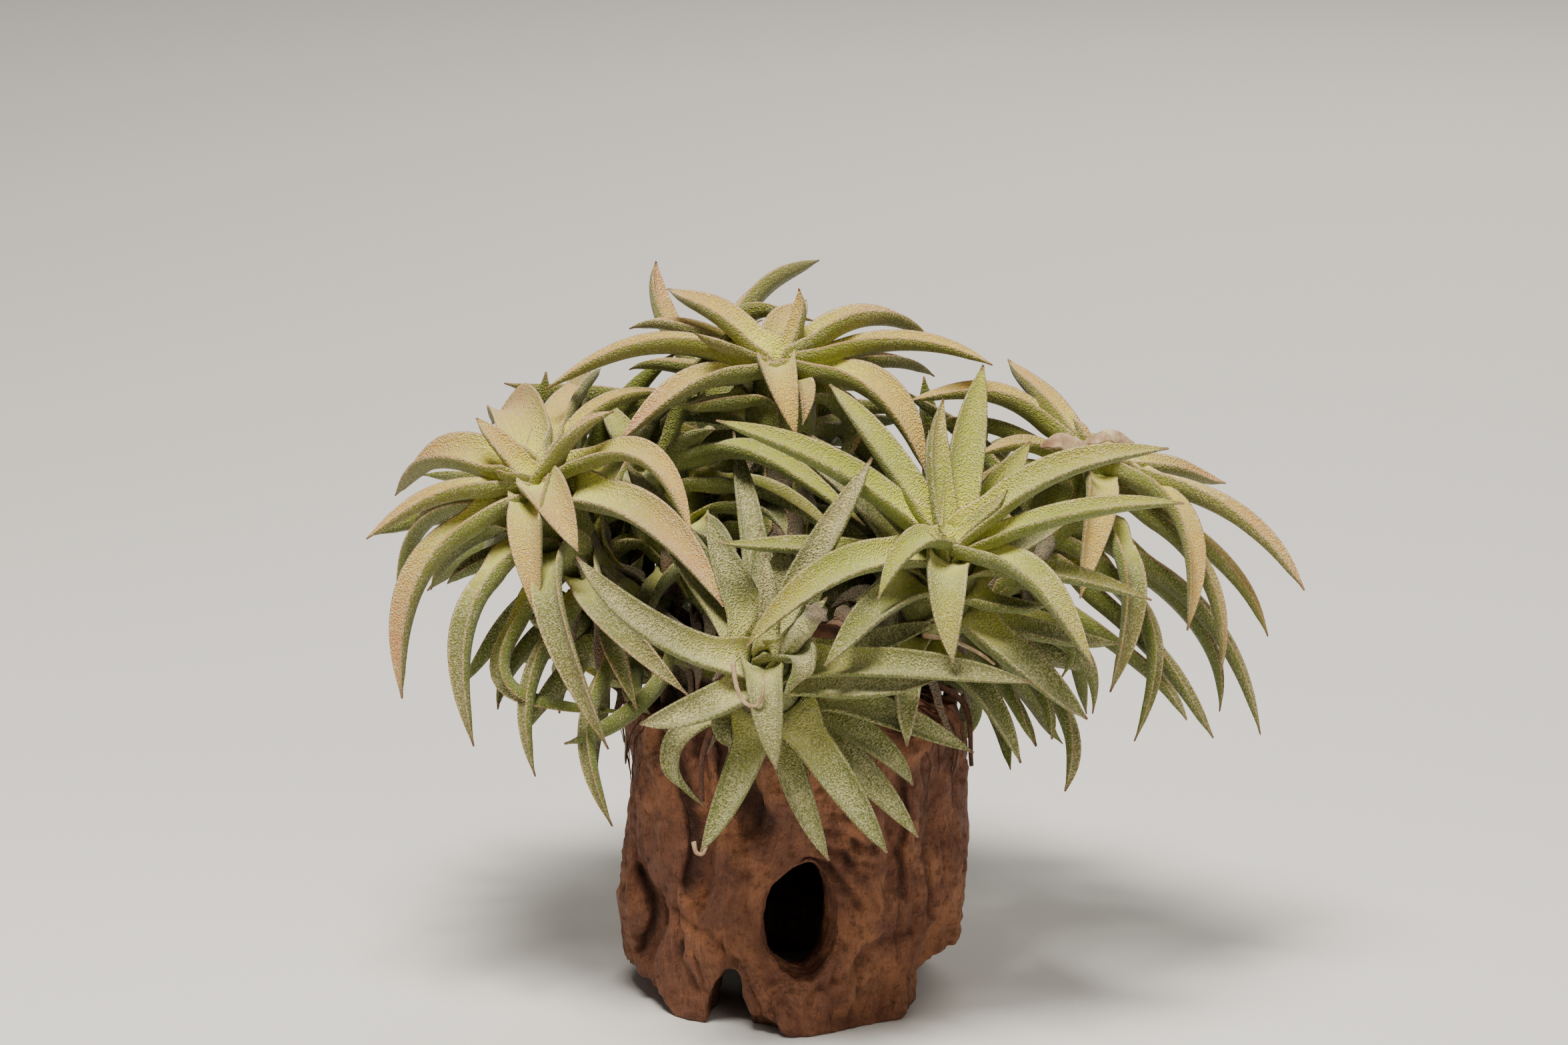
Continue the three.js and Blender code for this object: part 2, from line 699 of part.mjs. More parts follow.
function withRoom(leaves, stems) {
  const kept = [];
  const cores = stems.map(({ head, stem }) => ({ head: head.name, probes: stemProbes(head, stem) }));
  const order = [...leaves.filter((leaf) => leaf.shown), ...leaves.filter((leaf) => !leaf.shown)];
  for (const leaf of order) {
    if (!leaf.shown && leaf.end.distanceTo(leaf.home) > FARTHEST_BEND) continue;
    const probes = probesOf(leaf);
    const crowded = [...kept, ...cores].some((other) => {
      if (other.head === leaf.head) return false;
      const found = tightest(probes, other.probes);
      return found && found.short > LEAST_ROOM;
    });
    if (leaf.shown || !crowded) kept.push({ head: leaf.head, probes, leaf });
  }
  return kept.map((entry) => entry.leaf);
}

// Shown blades have a trough between two rims. Grown ones are flat above, with a keel below.
const BLADE_STEPS = 4;
const RIM_OF_THREE = Math.sin((2 * Math.PI) / 3);

function blade(leaf) {
  const shape = bentCone(leaf.shown ? 4 : 3, BLADE_STEPS, (share, x, z) => {
    const { side, face } = bladeFrame(leaf, share);
    const half = 0.5 * bladeWidth(leaf, share);
    const aside = leaf.shown ? x : x / RIM_OF_THREE;
    const rim = leaf.shown ? (Math.abs(x) - 0.5) * TROUGH_DEPTH * 2 * half : 0;
    return along(leaf, share)
      .addScaledVector(side, aside * half)
      .addScaledVector(face, rim - 0.5 * z * bladeThickness(share));
  });
  return solidOf(shape);
}

const STEM_SIDES = 6;
const STEM_STEPS = 7;

function stemCore(stem) {
  const shape = bentCone(STEM_SIDES, STEM_STEPS, (share, x, z) => {
    const { right, back } = roundStem(stem, share);
    const radius = stemRadius(stem, share);
    return along(stem, share).addScaledVector(right, x * radius).addScaledVector(back, -z * radius);
  });
  return solidOf(shape);
}

// The driftwood.

// How far the wood's side stands out at a turn (degrees, 270 is the front) and a height.
const GROOVES = [
  { path: [[20, 231], [29, 234], [39, 229], [47, 226]], depth: 5, width: 4.5 },
  { path: [[9, 205], [15.5, 213], [23, 205]], depth: 3.4, width: 4 },
  { path: [[33, 250], [47, 244]], depth: 3, width: 7 },
  { path: [[24, 310], [38, 309]], depth: 2.2, width: 3.5 },
  { path: [[2, 95], [20, 100], [47, 88]], depth: 3.5, width: 6 },
  { path: [[6, 140], [24, 132], [40, 142]], depth: 3, width: 5 },
  { path: [[14, 20], [30, 28], [47, 22]], depth: 2.6, width: 5 },
];
const SWELLINGS = [
  { turn: 195, height: 13, out: 1.8, wide: 22, high: 11 },
  { turn: 268, height: 2, out: 2.4, wide: 26, high: 12 },
  { turn: 44, height: 4, out: 1.2, wide: 20, high: 14 },
  { turn: 355, height: 42, out: 0.8, wide: 24, high: 12 },
  { turn: 285, height: 44, out: 1.4, wide: 22, high: 9 },
  { turn: 118, height: 30, out: 2, wide: 26, high: 16 },
  { turn: 70, height: 22, out: 1.6, wide: 18, high: 12 },
];

function turnBetween(a, b) {
  return ((a - b + 540) % 360) - 180;
}

function grooveTurn(path, height) {
  for (let i = 1; i < path.length; i += 1) {
    const [low, first] = path[i - 1];
    const [high, second] = path[i];
    if (height <= high) return first + ((second - first) * (height - low)) / (high - low);
  }
  return path[path.length - 1][1];
}

function woodRadius(turn, height) {
  const angle = THREE.MathUtils.degToRad(turn);
  const across = Math.cos(angle) / WOOD_HALF_WIDTH;
  const deep = Math.sin(angle) / WOOD_HALF_DEPTH;
  let radius = 1 / Math.hypot(across, deep);
  radius += 0.6 * Math.sin(3 * angle + height / 9) + 0.7 * Math.sin(7 * angle - height / 7);
  for (const swelling of SWELLINGS) {
    const aside = turnBetween(turn, swelling.turn) / swelling.wide;
    const above = (height - swelling.height) / swelling.high;
    radius += swelling.out * Math.exp(-aside * aside - above * above);
  }
  for (const groove of GROOVES) {
    const low = groove.path[0][0];
    const high = groove.path[groove.path.length - 1][0];
    const past = Math.max(0, low - height, height - high) / 2.5;
    const aside = turnBetween(turn, grooveTurn(groove.path, height)) / groove.width;
    radius -= groove.depth * Math.exp(-aside * aside - past * past);
  }
  return radius;
}

const WOOD_SIDES = 44;
const WOOD_RINGS = 8;
const WOOD_DOWN = 3;

// The outer form, a little larger all round by grow.
function woodBlock(grow) {
  const block = new THREE.CylinderGeometry(1, 1, 1, WOOD_SIDES, WOOD_RINGS);
  const tall = WOOD_TOP + WOOD_DOWN;
  return solidOf(
    reshape(block, (corner) => {
      const share = corner.y + 0.5;
      const height = -WOOD_DOWN + tall * share;
      const turn = (THREE.MathUtils.radToDeg(Math.atan2(-corner.z, corner.x)) + 360) % 360;
      const size = Math.hypot(corner.x, corner.z);
      const shoulder = 1 - 0.045 * share ** 8;
      const radius = size * (woodRadius(turn, height) * shoulder + grow);
      const angle = THREE.MathUtils.degToRad(turn);
      const top = share > 0.99 ? grow : 0;
      return new THREE.Vector3(radius * Math.cos(angle), radius * Math.sin(angle), height + top);
    }),
  );
}

function cavity() {
  const profile = [
    [0, -6],
    [1.04, -6],
    [1.02, 6],
    [1, 20],
    [0.86, 29],
    [0.5, 34.5],
    [0, CAVITY_TOP],
  ].map(([radius, height]) => new THREE.Vector2(radius, height));
  const shape = new THREE.LatheGeometry(profile, 28);
  shape.rotateX(Math.PI / 2);
  shape.scale(CAVITY_HALF_WIDTH, CAVITY_HALF_DEPTH, 1);
  return solidOf(shape);
}

// An oval way through the front wall, which leans to the left as it goes in and flares to the front.
const WAY_LENGTH = 30;
const WAY_MIDDLE = -20;

function windowWay() {
  const way = new THREE.CylinderGeometry(1, 1, WAY_LENGTH, 22, 1);
  reshape(way, (corner) => {
    const flare = 1 + 0.32 * Math.max(0, -corner.y / WAY_LENGTH);
    const slant = corner.z > 0 ? 0.12 * corner.z : 0;
    const y = corner.y + WAY_MIDDLE;
    const middle = WINDOW_ACROSS - WINDOW_LEAN * (y + WOOD_HALF_DEPTH);
    return new THREE.Vector3(
      middle + WINDOW_HALF_WIDTH * flare * (corner.x + slant),
      y,
      WINDOW_HEIGHT + WINDOW_HALF_HEIGHT * flare * corner.z,
    );
  });
  return solidOf(way);
}

// Hollows between the feet: place, half sizes.
const FOOT_HOLLOWS = [
  { place: [-10.2, -22, -0.5], halves: [3.7, 12, 10.4] },
  { place: [-6, -29, -1], halves: [5, 8, 4] },
  { place: [27.5, 1, -1], halves: [13.5, 16, 10.5] },
  { place: [28, -17, 0], halves: [10.5, 13, 18] },
  { place: [-29, -6, -1], halves: [12.5, 19, 6] },
];

function driftwood() {
  const floor = new THREE.BoxGeometry(200, 200, 40);
  floor.translate(0, 0, -20);
  let wood = woodBlock(0).subtract(solidOf(floor)).subtract(cavity()).subtract(windowWay());
  for (const hollow of FOOT_HOLLOWS) {
    wood = wood.subtract(ellipsoid(hollow.place, hollow.halves, 16, 10));
  }
  return oneBody(wood);
}

// Wiry roots: the places that each passes, and whether it runs down over the wood.
const ROOTS = [
  [[14, 0, 51], [21, 1, 50.5], [27.5, 2, 46], [28.6, 2, 36]],
  [[-14, 8, 50], [-19, 13, 50], [-23, 16.5, 45], [-23, 17, 35]],
  [[8, 14, 50], [10, 20, 50], [11.5, 24.5, 45], [12, 25, 33]],
  [[4, -14, 51], [8, -19, 54], [11.5, -25, 55], [16, -28, 52]],
  [[-8, -13, 50.5], [-12, -19, 50.3], [-14.5, -23.5, 45], [-14.5, -24, 38]],
];

function rootWire(points) {
  const path = new THREE.CatmullRomCurve3(points.map((point) => new THREE.Vector3(...point)));
  return solidOf(
    reshape(new THREE.ConeGeometry(1, 1, 5, 8), (corner) => {
      const share = Math.min(0.999, corner.y + 0.5);
      const size = Math.max(1 - (corner.y + 0.5), 1e-6);
      const ahead = path.getTangent(share);
      const side = new THREE.Vector3(0, 0, 1).cross(ahead).normalize();
      const over = new THREE.Vector3().crossVectors(ahead, side);
      const radius = (ROOT_RADIUS * (1 - 0.5 * share) * Math.hypot(corner.x, corner.z)) / size;
      const turn = Math.atan2(corner.z, corner.x);
      const point = path.getPoint(share);
      if (corner.y > 0.4999) return point;
      return point
        .addScaledVector(side, -Math.cos(turn) * radius)
        .addScaledVector(over, Math.sin(turn) * radius);
    }),
  );
}

function crownDome(grow) {
  const profile = [[0, 0]];
  for (let k = 0; k <= CROWN_RINGS; k += 1) {
    const tilt = (k / CROWN_RINGS) * (Math.PI / 2);
    profile.push([(CROWN_RADIUS + grow) * Math.cos(tilt), (CROWN_HEIGHT + grow) * Math.sin(tilt)]);
  }
  profile[profile.length - 1][0] = 0;
  const shape = new THREE.LatheGeometry(
    profile.map(([radius, height]) => new THREE.Vector2(radius, height)),
    CROWN_SIDES,
  );
  shape.rotateX(Math.PI / 2);
  shape.translate(0, 0, WOOD_TOP + SEAT_GAP);
  return solidOf(shape);
}

function rootCrown() {
  let crown = crownDome(0);
  for (const root of ROOTS) crown = crown.add(rootWire(root));
  return oneBody(crown.subtract(woodBlock(SEAT_GAP)));
}

// The assembly.

function headSolid(stem, leaves) {
  let head = stemCore(stem);
  for (const leaf of leaves) head = head.add(blade(leaf));
  return oneBody(head.subtract(crownDome(SEAT_GAP)));
}

function mesh(name, solid, color, roughness) {
  const material = new THREE.MeshStandardMaterial({ color, roughness, metalness: 0 });
  const made = new THREE.Mesh(geometryOf(solid), material);
  made.name = name;
  return made;
}

const clump = new THREE.Group();
clump.position.copy(WOOD_AXIS);
clump.add(mesh("driftwood", driftwood(), 0x96643f, 0.85));
clump.add(mesh("root_crown", rootCrown(), 0x6e5138, 0.9));

const stems = HEADS.map((head) => ({ head, stem: stemOf(head) }));
const planned = stems.flatMap(({ head, stem }) => [
  ...head.shown.map((row) => shownLeaf(head, stem, row)),
  ...Array.from({ length: head.grown.count }, (_, index) => grownLeaf(head, stem, index)),
]);
bendClear(planned, stems);
const leaves = withRoom(planned, stems);
for (const { head, stem } of stems) {
  const own = leaves.filter((leaf) => leaf.head === head.name);
  clump.add(mesh(head.name, headSolid(stem, own), head.color, 0.7));
}

const part = new THREE.Group();
part.add(clump);
export default part;
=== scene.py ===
"""A clump of small air plants on a hollow piece of driftwood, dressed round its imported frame."""

import itertools
import math

import bpy
import numpy as np
from bpy.props import FloatProperty, FloatVectorProperty, IntProperty, PointerProperty
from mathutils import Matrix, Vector


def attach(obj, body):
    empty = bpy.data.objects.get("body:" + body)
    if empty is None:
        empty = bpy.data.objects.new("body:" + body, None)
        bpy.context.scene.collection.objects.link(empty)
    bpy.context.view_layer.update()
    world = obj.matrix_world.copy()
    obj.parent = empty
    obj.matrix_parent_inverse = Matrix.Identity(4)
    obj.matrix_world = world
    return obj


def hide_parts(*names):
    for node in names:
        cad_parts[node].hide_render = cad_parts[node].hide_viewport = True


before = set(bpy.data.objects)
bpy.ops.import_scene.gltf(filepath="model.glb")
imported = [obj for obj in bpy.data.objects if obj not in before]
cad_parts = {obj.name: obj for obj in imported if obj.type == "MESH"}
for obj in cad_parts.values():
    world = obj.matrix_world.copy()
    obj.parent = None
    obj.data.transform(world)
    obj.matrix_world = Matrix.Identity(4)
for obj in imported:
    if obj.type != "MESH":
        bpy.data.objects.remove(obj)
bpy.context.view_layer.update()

bl_info = {
    "name": "Air plant clump",
    "version": (1, 0, 0),
    "blender": (4, 5, 0),
    "location": "View3D > Sidebar > Air plant",
    "description": "Makes a clump of silvery air plants on hollow driftwood",
    "category": "Object",
}

BODY = "root"
MM = 0.001
SQUARE = ((-1, -1), (1, -1), (1, 1), (-1, 1))

# Driving sizes in millimetres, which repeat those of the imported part.
WOOD_AXIS = np.array([-6.75, -2.65, 0.0])
WOOD_HALF_WIDTH = 27.0
WOOD_HALF_DEPTH = 24.5
WOOD_TOP = 47.0
CAVITY_HALF_WIDTH = 17.5
CAVITY_HALF_DEPTH = 15.5
CAVITY_TOP = 36.0
WINDOW_HALF_WIDTH = 5.3
WINDOW_HALF_HEIGHT = 8.6
WINDOW_HEIGHT = 18.0
WINDOW_ACROSS = 1.2
WINDOW_LEAN = 0.2
CROWN_RADIUS = 17.0
CROWN_HEIGHT = 13.0
SEAT_GAP = 0.3
STEM_RADIUS = 3.2
BULB_RADIUS = 6.5
BULB_LENGTH = 17.0
BLADE_THICKNESS = 1.5
BLADE_CLEARANCE = 0.75

# The front view looks down by this tilt. Places in the table are across, up and forward in it.
VIEW_TILT = math.radians(15)
SIGHT = np.array([0.0, math.cos(VIEW_TILT), -math.sin(VIEW_TILT)])

# Each head: its heart, the way it opens, the spot of the woody base that it grows from, and its
# shown leaves: tip, crest, width, depth of the root below the heart. Grown leaves follow a rule:
# how many, the age of the youngest (the oldest is 1), the range of turns round the stem in degrees
# (0 is to the right, 90 to the back), and the length of the longest.
HEADS = (
    {
        "node": "head_left",
        "slot": "leaf_peach",
        "heart": (-41, 81, 8),
        "opens": (-0.35, -0.25, 0.9),
        "foot": (-11, -4.5),
        "shown": (
            (-63, 78.3, -8, -57, 85.3, -1, 7, 2),
            (-67, 71.5, 14, -56, 79, 12, 4.8, 3),
            (-63.2, 58.5, -10, -60.5, 73.5, -7, 4.5, 7),
            (-61.7, 46.6, 18, -57.4, 69.2, 16, 6.2, 4),
            (-49.8, 39.3, 26, -51.2, 60.2, 22, 5.2, 11),
            (-39.3, 59.5, 24, -41.8, 76, 18, 5.5, 3),
            (-33.4, 70.2, 23, -38.8, 79.5, 17, 6, 1),
            (-29.4, 39, 29, -38.5, 64, 26, 4.8, 13),
            (-16, 72, 27, -23.5, 85.2, 17, 4.5, 3),
            (-11.6, 61.3, 36, -25, 76.8, 21, 5.8, 5),
            (-48.5, 90.5, -24, -44.3, 93, -8, 7.4, 2),
            (-31, 98.5, -22, -37, 92.8, -6, 6, 2),
            (-49.9, 91, 4, -46.2, 87, 7, 3.6, 2),
            (-28.5, 92.4, 12, -34, 89.2, 12, 3.6, 2),
            (-46.8, 82.4, 14, -44.6, 81.8, 11, 3, 1),
            (-18, 94.5, -4, -28, 94.3, 0, 4.2, 3),
            (-55.5, 65.3, 4, -50, 68.2, 4, 5, 12),
            (-58.5, 64, 2, -52, 72, 3, 4.8, 8),
            (-41.5, 34.2, 22, -41.9, 48.5, 20, 4, 22),
            (-25, 45.3, 21, -46, 49.6, 17, 4, 15),
            (-28.3, 26.8, 30, -32.5, 39.5, 27, 4, 31),
            (-24.4, 45.5, 27, -28.3, 56, 24, 4, 26),
            (-16.2, 48.2, 33, -30, 61.3, 25, 4.5, 19),
            (-35.5, 39.5, 24, -27.3, 43.5, 26, 3.6, 36),
        ),
        "grown": (8, 0.55, 40, 150, 34),
    },
    {
        "node": "head_top",
        "slot": "leaf_peach",
        "heart": (-2.3, 99.7, -8),
        "opens": (0, -0.2, 0.98),
        "foot": (0, 2),
        "shown": (
            (-39.1, 95.5, -3, -21, 103.2, -5, 5.4, 3),
            (-26.9, 106.5, -22, -18, 106.2, -16, 4.2, 4),
            (-20.5, 110.8, -20, -12.5, 108.4, -13, 5.4, 2),
            (1.7, 111.6, -9, 0.3, 106, -8, 3, 1),
            (1.5, 109.3, -21, -1.5, 105.8, -13, 6, 3),
            (-16.3, 104.2, 2, -11, 102.6, -2, 3.2, 2),
            (22, 104.5, -16, 10.5, 107.6, -11, 6, 2),
            (31.7, 99.9, -2, 16, 103.5, -5, 5, 2),
            (22.4, 98.5, -22, 14.5, 100.8, -15, 4, 5),
            (20.9, 82.3, 7, 13.6, 95.5, 3, 6.4, 3),
            (6.5, 81.5, -8, 8.8, 92.5, -8, 6, 6),
            (0.4, 88, 7, -2.6, 98.8, 2, 5.2, 2),
            (2.3, 89.9, 5, 2, 95.6, 2, 3, 5),
            (-26.9, 86.8, 6, -17, 96.3, 3, 5.8, 3),
            (-19, 92.2, 4, -12.5, 93.6, 0, 4.2, 7),
            (-26.6, 100, -16, -19, 99.9, -12, 4, 6),
        ),
        "grown": (10, 0.65, 20, 170, 30),
    },
    {
        "node": "head_front_right",
        "slot": "leaf_lime",
        "heart": (25, 70.7, 32),
        "opens": (0.25, -0.45, 0.85),
        "foot": (10, -8),
        "shown": (
            (-12.1, 90.2, 32, 8, 82.4, 36, 5.4, 3),
            (5.3, 96.3, 20, 14.5, 85, 28, 4.8, 2),
            (22.5, 93.7, 26, 22.3, 83, 30, 3.8, 1),
            (29.5, 98.6, 18, 26.8, 86, 26, 5.2, 2),
            (57.9, 85.2, 33, 40, 82.5, 35, 4.8, 2),
            (33.6, 78.2, 37, 29.5, 75.7, 35, 3, 1),
            (60, 78, 40, 42, 76, 40, 4.2, 3),
            (55.2, 62, 38, 43, 66.3, 38, 3.6, 6),
            (45.5, 52.3, 47, 36.2, 66.8, 44, 5.6, 3),
            (24.1, 52.8, 48, 23.3, 64.3, 45, 5.6, 4),
            (12.4, 63, 47, 17.8, 71.2, 43, 3.8, 2),
            (5.1, 52.2, 50, 11, 60, 46, 4.8, 8),
            (-7.3, 55.2, 45, 6, 67.1, 43, 5, 4),
            (-11.6, 70.6, 36, 1, 71, 38, 3.6, 6),
            (45.6, 44.2, 39, 34.8, 53.4, 39, 5.8, 12),
            (39.5, 61, 37, 32.5, 61.8, 37, 3.6, 9),
            (50.6, 55.3, 28, 41, 56.9, 30, 3.6, 13),
            (41.2, 51, 27, 43.2, 56.5, 26, 3, 15),
            (47.2, 44.3, 26, 44.7, 54, 25, 3.6, 16),
            (17, 39.7, 43, 17.2, 49, 41, 4.4, 22),
            (35, 36.7, 32, 29.8, 47.5, 31, 4, 25),
        ),
        "grown": (7, 0.3, 20, 160, 32),
    },
    {
        "node": "head_right",
        "slot": "leaf_peach",
        "heart": (48, 84.5, 0),
        "opens": (0.42, -0.12, 0.9),
        "foot": (9, 1),
        "shown": (
            (33.6, 99.8, -16, 40.3, 94.2, -8, 5.6, 2),
            (18.3, 93.2, -3, 31, 95.4, -4, 5.2, 3),
            (44.8, 91.5, -2, 46.3, 88, 0, 2.8, 1),
            (48, 89.2, -7, 48.6, 87, -4, 4, 1),
            (53, 87, -12, 50.8, 86.2, -7, 4, 3),
            (39.4, 85.5, 11, 43.8, 86.8, 7, 3.4, 2),
            (29, 85, 9, 36.5, 87.1, 5, 3.8, 4),
            (20.3, 89.9, -10, 33, 89.8, -7, 4, 5),
            (27, 80.2, 11, 35.5, 83, 8, 3.6, 7),
            (68.6, 79.8, -10, 60, 83.5, -4, 4.6, 2),
            (81.4, 64, 10, 67.8, 77.3, 8, 5, 3),
            (62.2, 57.4, 20, 61, 76, 14, 4.8, 3),
            (44.8, 62.9, 18, 48.3, 79.5, 12, 5, 3),
            (49.4, 47.8, 22, 53.1, 65.5, 18, 4.8, 9),
            (68.1, 50, 12, 64.2, 68.3, 10, 4.2, 6),
            (76.5, 56.8, 2, 67.1, 69.6, 2, 4.6, 5),
            (74.8, 40.5, 0, 67.9, 57.4, 0, 4.6, 13),
            (53.6, 39.9, 16, 56.9, 55.8, 14, 4.4, 17),
            (66.4, 39.7, 6, 59.9, 51.3, 6, 4.6, 19),
            (62.6, 43, 10, 57, 50.5, 10, 3.6, 25),
            (69.4, 44, -6, 66, 56.5, -4, 4, 13),
            (42.9, 32.1, 22, 43.8, 41.5, 20, 3.8, 31),
            (40.7, 40.2, 23, 39.4, 47, 21, 3, 33),
            (37.3, 39.4, 24, 35, 46, 22, 3.4, 36),
        ),
        "grown": (9, 0.7, 15, 165, 32),
    },
    {
        "node": "head_front_low",
        "slot": "leaf_silver",
        "heart": (-4.6, 54, 42),
        "opens": (-0.05, -0.72, 0.69),
        "foot": (-1, -13),
        "shown": (
            (-33.6, 69.2, 43, -20, 57.2, 46, 4.6, 3),
            (-26.5, 84, 8, -16.2, 69, 25, 5.2, 4),
            (12.8, 83.9, 40, 4.9, 72, 43, 4.4, 2),
            (-10, 88.5, -2, -6.8, 74, 14, 3.8, 8),
            (-3.9, 69.6, 40, -3.8, 63, 41, 2.6, 1),
            (36.7, 50.1, 41, 15, 52.8, 46, 4.2, 4),
            (22, 50, 44, 10, 49.2, 46, 4, 6),
            (-24.4, 44, 46, -14, 46.2, 48, 4.8, 5),
            (-2.3, 36.5, 55, -4.1, 46.3, 53, 4.8, 3),
            (5, 62.5, 50, 1.5, 58.5, 48, 3, 2),
            (-2.5, 47, 52, 1.5, 53.5, 50, 4, 2),
            (21.7, 59.4, 36, 13.5, 56.4, 37, 3.8, 9),
            (27.5, 38.8, 40, 16, 44.4, 42, 4.2, 11),
            (19.3, 34.2, 40, 13, 40.2, 41, 4, 14),
            (19.6, 26.2, 39, 9.6, 37, 40, 4.6, 15),
            (15, 23.6, 45, 5.2, 37, 45, 5, 10),
            (4.8, 21.5, 43, 0.2, 33.7, 43, 4, 13),
            (-14.7, 23.6, 46, -8.8, 34.8, 45, 4.8, 10),
            (-14, 29.8, 38, -19.3, 37.8, 37, 3, 20),
            (-8.5, 38.7, 42, -11.2, 42.8, 41, 3.2, 15),
        ),
        "grown": (4, 0.3, 60, 120, 26),
    },
    {
        "node": "head_middle",
        "slot": "leaf_lime",
        "heart": (-21, 83, -8),
        "opens": (-0.15, 0, 1),
        "foot": (-7.5, 2.5),
        "shown": (
            (11, 73.6, 19, -10, 86.4, 5, 4.8, 3),
            (8, 71.8, 10, -8, 80.7, 2, 4.8, 5),
            (-1.7, 72, 13, -3.6, 76.6, 7, 3.4, 9),
            (-5.5, 107.6, -14, -15.3, 99.3, -9, 3.5, 2),
        ),
        "grown": (13, 0.2, 20, 330, 30),
    },
    {
        "node": "head_back_top",
        "slot": "leaf_peach",
        "heart": (-13, 100, -32),
        "opens": (-0.1, 0.3, 0.95),
        "foot": (-3.5, 9.5),
        "shown": (
            (-22.3, 117, -46, -21.4, 109.5, -40, 4.6, 3),
            (4.6, 117, -50, -4.5, 113.6, -42, 5.2, 2),
            (3.2, 106, -25, -5, 109.1, -27, 3.8, 3),
        ),
        "grown": (17, 0.5, -10, 200, 32),
    },
    {
        "node": "head_back_right",
        "slot": "leaf_lime",
        "heart": (24, 76, -32),
        "opens": (0.35, 0.55, 0.8),
        "foot": (5.5, 9),
        "shown": (),
        "grown": (21, 0.15, -170, 190, 36),
    },
    {
        "node": "head_back_left",
        "slot": "leaf_lime",
        "heart": (-37, 79, -26),
        "opens": (-0.45, 0.45, 0.8),
        "foot": (-10.5, 9.5),
        "shown": (),
        "grown": (21, 0.15, -170, 190, 36),
    },
    {
        "node": "head_back_low",
        "slot": "leaf_silver",
        "heart": (-5, 68, -40),
        "opens": (-0.1, 0.8, 0.6),
        "foot": (1.5, 15),
        "shown": (),
        "grown": (21, 0, -170, 190, 34),
    },
    {
        "node": "head_right_low",
        "slot": "leaf_silver",
        "heart": (34, 57, -14),
        "opens": (0.8, 0.35, 0.5),
        "foot": (13, 7.5),
        "shown": (),
        "grown": (13, 0, -170, 190, 24),
    },
    {
        "node": "head_left_low",
        "slot": "leaf_silver",
        "heart": (-33, 57, -8),
        "opens": (-0.85, 0.25, 0.4),
        "foot": (-14.5, 2.5),
        "shown": (),
        "grown": (12, 0, -170, 190, 24),
    },
)


def unit(vectors):
    return vectors / np.maximum(np.linalg.norm(vectors, axis=-1, keepdims=True), 1e-9)


def dot(a, b):
    return (a * b).sum(-1)


def soft_step(share):
    """Eases a share from 0 to 1 in and out."""
    return share * share * (3 - 2 * share)


def round_turns(count):
    """Even steps once round, in radians."""
    return np.arange(count) * 2 * math.pi / count


def points_at(x, y, z):
    """Points from arrays of their x, y and z, which are spread over each other."""
    return np.stack(np.broadcast_arrays(x, y, z), -1)


def seen(across, up, forward):
    """A point round the wood's axis, from one in the front view."""
    height = (up + forward * math.sin(VIEW_TILT)) / math.cos(VIEW_TILT)
    return np.array([across, -forward, height], float)


# A curve is three points: its start, its bend and its end.
LEAST_CREST, MOST_CREST = 0.35, 0.65


def along(curve, share):
    """The points at those shares of a curve."""
    share = np.asarray(share, float)
    rest = 1 - share
    return np.stack([rest * rest, 2 * share * rest, share * share], -1) @ curve


def heading(curve, share):
    """The ways that a curve goes at those shares of it."""
    share = np.asarray(share, float)
    return unit(np.stack([share - 1, 1 - 2 * share, share], -1) @ curve)


def bend_through(start, crest, end):
    """The bend that makes a curve pass through its crest."""
    near = np.linalg.norm(crest - start)
    share = min(max(near / (near + np.linalg.norm(end - crest)), LEAST_CREST), MOST_CREST)
    return (crest - start * (1 - share) ** 2 - end * share**2) / (2 * share * (1 - share))


# How far a stem's foot is sunk in the woody base, and as shares of the stem: where it bends, its
# bulb at the longest, and its lowest leaf.
FOOT_SINK = 3.0
STEM_BEND = 0.5
LONGEST_BULB = 0.62
LOWEST_ROOT = 0.05


def crown_top(x, y):
    """The height of the woody base at a place over the wood."""
    out = min(1.0, math.hypot(x, y) / CROWN_RADIUS)
    return WOOD_TOP + SEAT_GAP + CROWN_HEIGHT * math.sqrt(1 - out * out)


def stem_of(head):
    """The curve of a head's stem, from the woody base to its heart."""
    heart = seen(*head["heart"])
    opens = unit(np.array(head["opens"], float))
    x, y = head["foot"]
    foot = np.array([x, y, crown_top(x, y) - FOOT_SINK])
    reach = np.linalg.norm(heart - foot)
    return np.array([foot, heart - STEM_BEND * reach * opens, heart])


def stem_length(stem):
    return np.linalg.norm(stem[2] - stem[0])


def stem_radius(stem, share):
    below = (1 - np.asarray(share, float)) * stem_length(stem)
    bulb_length = min(BULB_LENGTH, LONGEST_BULB * stem_length(stem))
    from_middle = 2 * below / bulb_length - 1
    bulb = BULB_RADIUS * np.sqrt(np.maximum(0, 1 - from_middle**2))
    return np.where(below < 0.5 * bulb_length, bulb, np.maximum(bulb, STEM_RADIUS))


def root_share(stem, depth):
    """How far along the stem a leaf grows whose root is that deep below the heart."""
    return max(LOWEST_ROOT, 1 - depth / stem_length(stem))


def round_stem(stem, share):
    """The way up a stem, and two ways out from it."""
    up = heading(stem, share)
    right = np.zeros_like(up)
    right[..., 0] = 1
    right = unit(right - up * up[..., :1])
    return up, right, np.cross(up, right)


GROWTH_SEED = 20251
LEAF_SEED = 404
WITHERED_SEED = 909
ROOT_SEED = 77


class Draws:
    """A small seeded generator that keeps every draw the same from run to run."""

    def __init__(self, seed):
        self.seed = seed

    def between(self, low, high):
        self.seed = (self.seed * 1664525 + 1013904223) % 2**32
        return low + (high - low) * self.seed / 2**32


